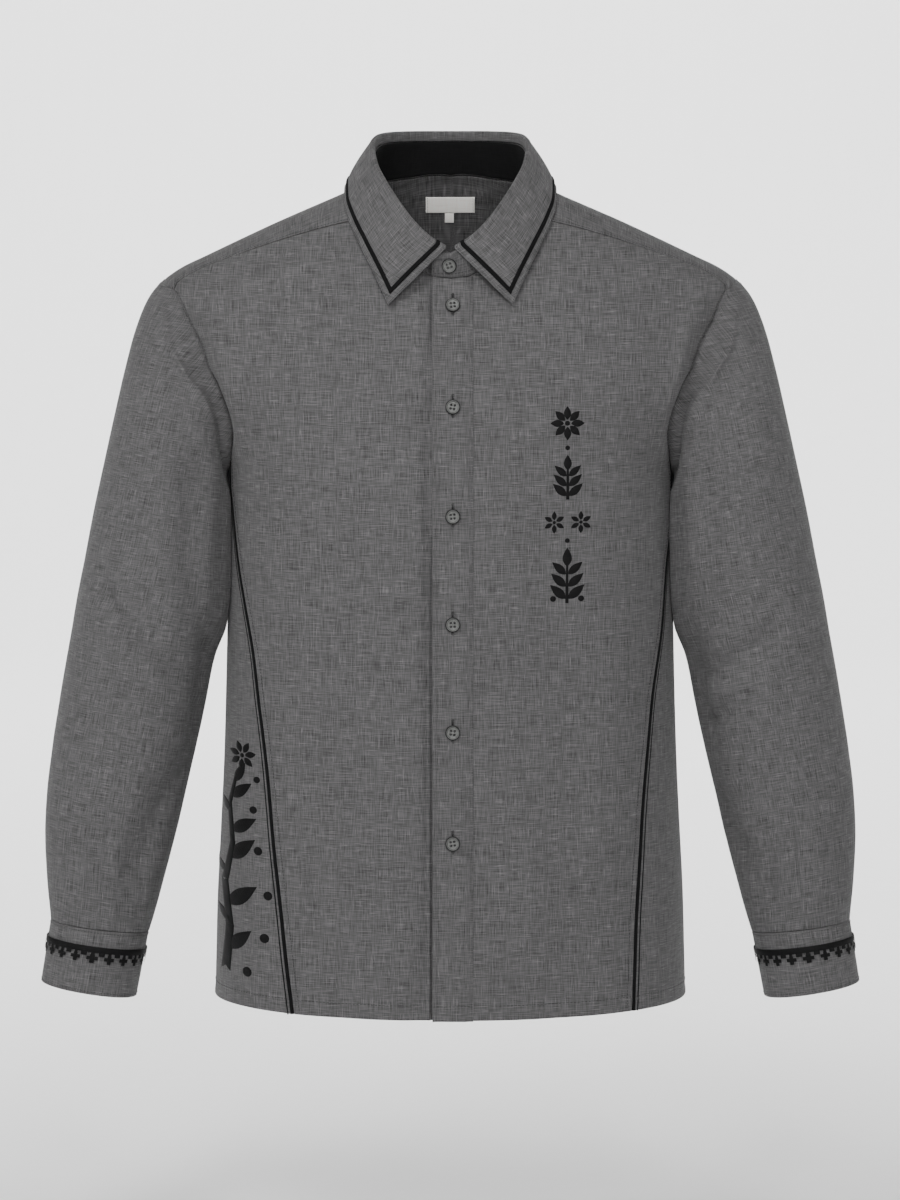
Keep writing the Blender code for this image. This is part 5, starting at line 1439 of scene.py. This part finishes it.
def fill(outline, turn_deg=0.0):
    """Raised satin-stitched shape from a closed outline of x and z in metres."""
    verts, faces, uvs = MOTIF
    outline = np.asarray(outline, float)
    centre = outline.mean(axis=0)
    count = len(outline)
    base = len(verts)
    rings = ((1.0, 0.00005), (0.93, 0.00030), (0.55, 0.00046))
    for scale, lift in rings:
        verts.extend(spot_on(*(centre + (outline - centre) * scale).T, lift)[0].tolist())
    verts.extend(spot_on(*centre, 0.0005)[0].tolist())
    turn = np.radians(turn_deg)
    way = np.array((np.cos(turn), np.sin(turn)))
    across = (outline - centre) @ np.stack((way, (-way[1], way[0])), axis=-1)
    for k in range(count):
        j = (k + 1) % count
        for level in (0, 1):
            a, b = base + level * count + k, base + level * count + j
            s0, s1 = rings[level][0], rings[level + 1][0]
            faces.append((a, b, b + count, a + count))
            uvs.extend((across[k] * s0, across[j] * s0, across[j] * s1, across[k] * s1))
        faces.append((base + 2 * count + k, base + 2 * count + j, base + 3 * count))
        uvs.extend((across[k] * rings[2][0], across[j] * rings[2][0], (0.0, 0.0)))


def leaf(x, z, angle, length, width, power=0.8):
    """Pointed leaf or petal from its root, at degrees above +X."""
    t = np.linspace(0, 1, 11)
    half = width / 2 * np.sin(np.pi * t ** power)
    out = np.concatenate((t, t[-2:0:-1])) * length
    wide = np.concatenate((half, -half[-2:0:-1]))
    c, s = np.cos(np.radians(angle)), np.sin(np.radians(angle))
    fill(join(x + out * c - wide * s, z + out * s + wide * c), angle)


def dot(x, z, radius):
    t = np.linspace(0, 2 * np.pi, 15)[:-1]
    fill(join(x + radius * np.cos(t), z + radius * np.sin(t)))


def bar(x0, z0, x1, z1, wide0, wide1):
    """Straight tapering stem."""
    way = unit(np.array((x1 - x0, z1 - z0)))
    side = np.array((-way[1], way[0]))
    a, b = np.array((x0, z0)), np.array((x1, z1))
    t = np.linspace(0, 1, 7)[:, None]
    mid = a * (1 - t) + b * t
    wide = (wide0 * (1 - t) + wide1 * t) / 2
    shape = np.vstack((mid + side * wide, (mid - side * wide)[::-1]))
    fill(shape, np.degrees(np.arctan2(way[1], way[0])))


def rosette(x, z, radius, petals, turn=0.0):
    for k in range(petals):
        angle = turn + 360.0 * k / petals
        c, s = np.cos(np.radians(angle)), np.sin(np.radians(angle))
        leaf(x + c * radius * 0.2, z + s * radius * 0.2, angle, radius * 0.8, radius * 0.42, 0.9)
    dot(x, z, radius * 0.15)


def sprig(x, z, height, spread):
    """Upright stem with paired leaves and a bud."""
    bar(x, z, x, z + height * 0.72, 0.0028, 0.0018)
    for f in (0.08, 0.30, 0.52):
        size = spread * (1 - 0.28 * f)
        leaf(x + 0.001, z + height * f, 42, size, size * 0.42)
        leaf(x - 0.001, z + height * f, 138, size, size * 0.42)
    leaf(x, z + height * 0.66, 90, height * 0.34, spread * 0.42)


# Chest: two sprigs and three rosettes, small dots between them
CHEST_X = 0.1025
rosette(CHEST_X, -0.1985, 0.0150, 8)
dot(CHEST_X, -0.2200, 0.0021)
sprig(CHEST_X, -0.2650, 0.0390, 0.0165)
rosette(CHEST_X - 0.0115, -0.2850, 0.0098, 6, 30.0)
rosette(CHEST_X + 0.0115, -0.2850, 0.0098, 6, 30.0)
dot(CHEST_X, -0.3010, 0.0021)
sprig(CHEST_X, -0.3560, 0.0490, 0.0190)
dot(CHEST_X - 0.012, -0.3520, 0.0026)
dot(CHEST_X + 0.012, -0.3520, 0.0026)

# Hem of the wearer's right side: a climbing stem with leaves in turn, berries and a flower on top
STEM = ((-0.2005, -0.6900), (-0.1960, -0.6500), (-0.2010, -0.6100), (-0.1935, -0.5750), (-0.1960, -0.5400),
        (-0.1890, -0.5120))
STEM_WIDE = (0.0090, 0.0078, 0.0066, 0.0054, 0.0042, 0.0030)
for k in range(len(STEM) - 1):
    (x0, z0), (x1, z1) = STEM[k], STEM[k + 1]
    bar(x0, z0, x1 + (x1 - x0) * 0.05, z1 + (z1 - z0) * 0.05, STEM_WIDE[k], STEM_WIDE[k + 1])
LEAVES = ((0, 0.5, 40, 0.030), (1, 0.1, 128, 0.018), (1, 0.5, 34, 0.034), (2, 0.2, 135, 0.017),
          (2, 0.6, 38, 0.032), (3, 0.3, 30, 0.028), (3, 0.75, 120, 0.016), (4, 0.2, 36, 0.025),
          (4, 0.7, 60, 0.021))
for k, f, angle, length in LEAVES:
    (x0, z0), (x1, z1) = STEM[k], STEM[k + 1]
    leaf(x0 + (x1 - x0) * f, z0 + (z1 - z0) * f, angle, length, length * 0.40)
rosette(-0.1840, -0.4960, 0.0135, 7, 10.0)
BERRIES = ((-0.1640, -0.6560, 0.0042), (-0.1610, -0.6180, 0.0040), (-0.1690, -0.5790, 0.0038),
           (-0.1730, -0.5430, 0.0034), (-0.1800, -0.6880, 0.0044), (-0.1700, -0.5160, 0.0030))
for x, z, r in BERRIES:
    dot(x, z, r)
thing = mesh_object("front_embroidery", *MOTIF)
finish_piece(thing, BLACK_THREAD, "black_trim")


# Buttons, buttonholes and their thread
def frame_on(normal):
    """Sideways and upward unit ways in the plane square to a normal."""
    side_way = unit(np.cross((0.0, 0.0, 1.0), normal))
    return side_way, np.cross(normal, side_way)


def detailed_button(name, node, place, normal, radius, depth, spin=0.0):
    """Round button with a rolled rim, a dished face and four holes with rounded mouths."""
    side_way, up_way = frame_on(normal)
    around, hole_sides = 56, 14
    dish, hole_r, hole_at = 0.66, radius * 0.168, radius * 0.250
    profile = ((dish, -0.5), (0.90, -0.5), (0.97, -0.34), (1.0, -0.05), (0.985, 0.22), (0.94, 0.42),
               (0.88, 0.50), (0.81, 0.47), (0.75, 0.34), (0.71, 0.24), (dish, 0.20))
    hole_profile = ((1.0, -0.5), (1.0, 0.12), (1.28, 0.20))
    centres = [(hole_at * sx, hole_at * sy) for sx, sy in ((1, 1), (-1, 1), (-1, -1), (1, -1))]
    flat, faces = [], []

    def circle(cx, cy, size, level, sides):
        """Add a ring of points and return their numbers."""
        turns = np.arange(sides) * 2 * np.pi / sides
        flat.extend([(cx + size * np.cos(a), cy + size * np.sin(a), level * depth) for a in turns])
        return list(range(len(flat) - sides, len(flat)))

    def wall(rings):
        for low, high in zip(rings, rings[1:]):
            for j in range(len(low)):
                faces.append((low[j - 1], low[j], high[j], high[j - 1]))

    outside_rings = [circle(0.0, 0.0, radius * r, level, around) for r, level in profile]
    wall(outside_rings)
    holes = [[circle(cx, cy, hole_r * grow, level, hole_sides) for grow, level in hole_profile]
             for cx, cy in centres]
    for rings in holes:
        wall(rings)
    for end in (0, -1):
        loops = [outside_rings[end]] + [rings[end] for rings in holes]
        order = [k for loop in loops for k in loop]
        shapes = [[Vector((flat[k][0], flat[k][1], 0.0)) for k in loop] for loop in loops]
        for tri in tessellate_polygon(shapes):
            faces.append(tuple(order[k] for k in tri))
    c, s = np.cos(spin), np.sin(spin)

    def spot(x, y, h):
        return place + side_way * (x * c - y * s) + up_way * (x * s + y * c) + normal * h

    bm = bmesh.new()
    made = [bm.verts.new(tuple(spot(*point))) for point in flat]
    bm.verts.index_update()
    for face_ids in faces:
        bm.faces.new([made[k] for k in face_ids])
    bmesh.ops.recalc_face_normals(bm, faces=bm.faces)
    shares = bm.loops.layers.uv.new("UVMap")
    for face in bm.faces:
        face.smooth = True
        for loop in face.loops:
            x, y, _ = flat[loop.vert.index]
            loop[shares].uv = (np.hypot(x, y) / radius, 0.0)
    mesh = bpy.data.meshes.new(name)
    bm.to_mesh(mesh)
    bm.free()
    mesh.set_sharp_from_angle(angle=radians(50))
    thing = bpy.data.objects.new(name, mesh)
    bpy.context.scene.collection.objects.link(thing)
    finish_piece(thing, BUTTON_MATERIAL, "button", (node,))

    # Thread through the holes, sunk in the dished face; it is black and thick so that it also paints the
    # shade in the holes, partly real thread and partly painted shade
    for sy in (1, -1):
        line = np.array([spot(x * hole_at, sy * hole_at, depth * (-0.24 + 0.05 * np.cos(np.pi * x / 2)))
                         for x in np.linspace(-1, 1, 9)])
        stitches(line, normal, pitch=1.0, length=hole_at * 3.1, radius=0.00082, kind="black")


def buttonhole(centre, normal, half_length=0.0102, half_width=0.0009):
    """Upright slit with a raised edge of thread, and a black cord along the slit as painted shade of the open
    cut.
    """
    ways = frame_on(normal)

    def row(at, along, half, count, **look):
        """Stitches on a straight line through a place beside the middle."""
        middle = centre + ways[1 - along] * at
        line = middle + ways[along] * np.linspace(-half, half, count)[:, None]
        stitches(line, normal, **look)

    for at, along, half, count, radius in ((half_width, 1, half_length, 30, 0.00042),
                                           (half_length, 0, half_width * 1.3, 6, 0.00040)):
        for sign in (-1, 1):
            row(at * sign, along, half, count, pitch=0.0009, length=0.0007, radius=radius, rise=-0.0001)
    # The black cord down the middle is painted shade: it darkens the cut where only shade falls
    slit = 2 * half_length * 0.97
    row(0.0, 1, half_length, 12, pitch=1.0, length=slit, radius=0.00045, kind="black", rise=0.0)


stand_front = stand_grid(np.linspace(STAND_START_ANGLE, 32, 61), 9, 0.0)
stand_face = grid_normals(stand_front, away_from=neck_middle)
near = int(np.argmin(np.abs(stand_front[4, :, 0] + 0.0004)))
spot, way = stand_front[4, near], stand_face[4, near]
spot = spot + way * (CLOTH / 2 + 0.0002 + BUTTON_DEPTH / 2)
detailed_button("stud_0", "button_0", spot, way, BUTTON_RADIUS, BUTTON_DEPTH, 0.35)
SPINS = (0.12, -0.2, 0.1, 0.05, -0.1, 0.15)
for k, z in enumerate(BUTTON_HEIGHTS):
    p, n = placket_spot(BUTTON_X, z, 0.0)
    p = p + n * (0.0009 + BUTTON_DEPTH / 2)
    detailed_button(f"stud_{k + 1}", f"button_{k + 1}", p, n, BUTTON_RADIUS, BUTTON_DEPTH, SPINS[k])
    buttonhole(*placket_spot(BUTTON_X, z + 0.0012, 0.00075))
for side in (1, -1):
    word = "left" if side > 0 else "right"
    flip = np.array((side, 1.0, 1.0))
    p, n = cuff_surface(np.array((275.0, 276.0, 277.0)), (0.49, 0.5, 0.51), 0.0)
    p, n = (p[1, 1] + n[1, 1] * (0.0010 + BUTTON_DEPTH / 2)) * flip, n[1, 1] * flip
    detailed_button("cuff_stud_" + word, "cuff_button_" + word, p, n, CUFF_BUTTON_RADIUS, BUTTON_DEPTH)

# Bare label and tab
LABELS = (
    ("label_cloth", "neck_label", -0.0224, 0.0222, -0.0018, -0.0160, (0.045, 0.015)),
    ("tab_cloth", "size_tab", -0.0050, 0.0032, -0.0164, -0.0250, (0.010, 0.010)),
)
for name, node, x0, x1, z0, z1, flat in LABELS:
    xs, zs = np.linspace(x0, x1, 30), np.linspace(z0, z1, 14)
    grid_x, grid_z = np.meshgrid(xs, zs)
    width, _, back, power = section(grid_z)
    grid_y = back * (1 - (np.abs(grid_x) / width) ** power) ** (1 / power)
    base = join(grid_x, grid_y, grid_z)
    normal = outward(base)
    lift = -(0.0012 + 0.0004 * np.sin(np.linspace(0, np.pi, 14)))[:, None] + fold_height(base)
    pts = base + normal * lift[..., None]
    uv = join(grid_x, grid_z)
    cloth(name, node, pts, normal, uv,
          look=(CREAM, "label"), thick=0.0006)
    if name == "label_cloth":
        for sx in (1, -2):
            stitches(pts[:, sx] - normal[:, sx] * 0.0003, -normal[:, sx], pitch=0.0016, length=0.0010,
                     radius=0.00016, kind="light")

THREADS = (
    ("grey", GREY_THREAD, "linen"),
    ("light", LIGHT_THREAD, "linen"),
    ("black", BLACK_THREAD, "black_trim"),
)
# The black stitching gathers the button thread and the buttonhole slits: painted shade of holes and cuts, the
# button thread partly real
for kind, material, slot_name in THREADS:
    verts, faces, uvs = STITCHES[kind]
    thing = mesh_object("stitching_" + kind, verts, faces, uvs)
    finish_piece(thing, material, slot_name)

# Floor with a rising sweep behind, light and camera
FLOOR_Z, FLOOR_HALF, SWEEP_Y, SWEEP_RADIUS, WALL_TOP_Z = -0.95, 9.0, 5.7, 1.2, 5.5
turns = np.radians(np.linspace(0, 90, 16))
steps = [(-FLOOR_HALF, FLOOR_Z)]
steps += [(SWEEP_Y + SWEEP_RADIUS * np.sin(a), FLOOR_Z + SWEEP_RADIUS * (1 - np.cos(a))) for a in turns]
steps.append((SWEEP_Y + SWEEP_RADIUS, WALL_TOP_Z))
verts = [(x, y, z) for y, z in steps for x in (-FLOOR_HALF, FLOOR_HALF)]
floor = mesh_object("floor", verts, [(k, k + 1, k + 3, k + 2) for k in range(0, 2 * len(steps) - 2, 2)])
material, tree = new_material("floor_paper")
place = add(tree, "TexCoord", output="Object")
grain = remap(tree, noise(tree, place, 40.0, 40.0), 0.3, 0.7, 0.955, 0.965)
dress_shader(tree, (1.0, 1.0, 1.0), grain, Roughness=0.9)
# Far beside and far in front the floor fades to the tone of the air, for the camera alone
AIR_LIGHT, AIR_SEEN = 0.07, 2.2
x, y = split(tree, place)
far = maths(tree, "MAXIMUM", maths(tree, "ABSOLUTE", x), maths(tree, "MULTIPLY", y, -1.0))
by_eye = add(tree, "LightPath", output="Is Camera Ray")
share = maths(tree, "MULTIPLY", remap(tree, far, 1.8, 4.2), by_eye)
glow = add(tree, "Emission", {"Strength": AIR_SEEN})
paper = tree.nodes["Principled BSDF"].outputs[0]
blend = add(tree, "MixShader", {0: share, 1: paper, 2: glow})
give(tree, tree.nodes["Material Output"].inputs["Surface"], blend)
floor.data.materials.append(material)

world = bpy.data.worlds.new("studio")
world.use_nodes = True
tree = world.node_tree
air = tree.nodes["Background"]
air.inputs["Color"].default_value = (1.0, 1.0, 1.0, 1.0)
by_eye = add(tree, "LightPath", output="Is Camera Ray")
give(tree, air.inputs["Strength"], remap(tree, by_eye, 0.0, 1.0, AIR_LIGHT, AIR_SEEN))
bpy.context.scene.world = world


def area_light(name, place, target, size, power):
    light = bpy.data.lights.new(name, "AREA")
    light.shape = "RECTANGLE"
    light.size, light.size_y = size
    light.energy = power
    thing = bpy.data.objects.new(name, light)
    thing.location = place
    thing.visible_camera = False
    thing.rotation_euler = (Vector(target) - Vector(place)).to_track_quat("-Z", "Y").to_euler()
    bpy.context.scene.collection.objects.link(thing)
    return thing


area_light("key", (-0.9, -2.0, 1.8), (0.0, 0.0, -0.10), (1.0, 1.0), 42.0)
area_light("top", (0.0, -1.0, 2.6), (0.0, 0.0, -0.2), (1.4, 0.9), 22.0)
area_light("left_fill", (-3.0, -1.5, 0.2), (-0.1, 0.0, -0.3), (1.4, 1.6), 37.0)
area_light("right_fill", (3.0, -1.5, 0.2), (0.1, 0.0, -0.3), (1.4, 1.6), 26.0)
area_light("front", (0.2, -4.4, 1.7), (0.0, 0.0, -0.15), (1.0, 1.0), 88.0)
area_light("front_low", (0.2, -4.4, 0.2), (0.0, 0.0, -0.15), (1.0, 1.0), 34.0)
area_light("wall", (0.0, 3.9, 3.0), (0.0, 6.7, -0.2), (7.0, 1.8), 390.0)
area_light("wall_low", (0.0, 0.5, 1.7), (0.0, 3.5, 0.75), (6.0, 0.8), 230.0)

camera_data = bpy.data.cameras.new("camera")
camera_data.lens = 150.0
camera_data.sensor_width = 36.0
camera_data.sensor_fit = "AUTO"
camera_data.clip_end = 50.0
camera = bpy.data.objects.new("camera", camera_data)
AIM = Vector((-0.0003, 0.0, -0.3633))
elevation = radians(5.0)
camera.location = AIM + Vector((0.0, -4.5 * np.cos(elevation), 4.5 * np.sin(elevation)))
camera.rotation_euler = (AIM - camera.location).to_track_quat("-Z", "Y").to_euler()
bpy.context.scene.collection.objects.link(camera)
bpy.context.scene.camera = camera

bpy.context.view_layer.update()
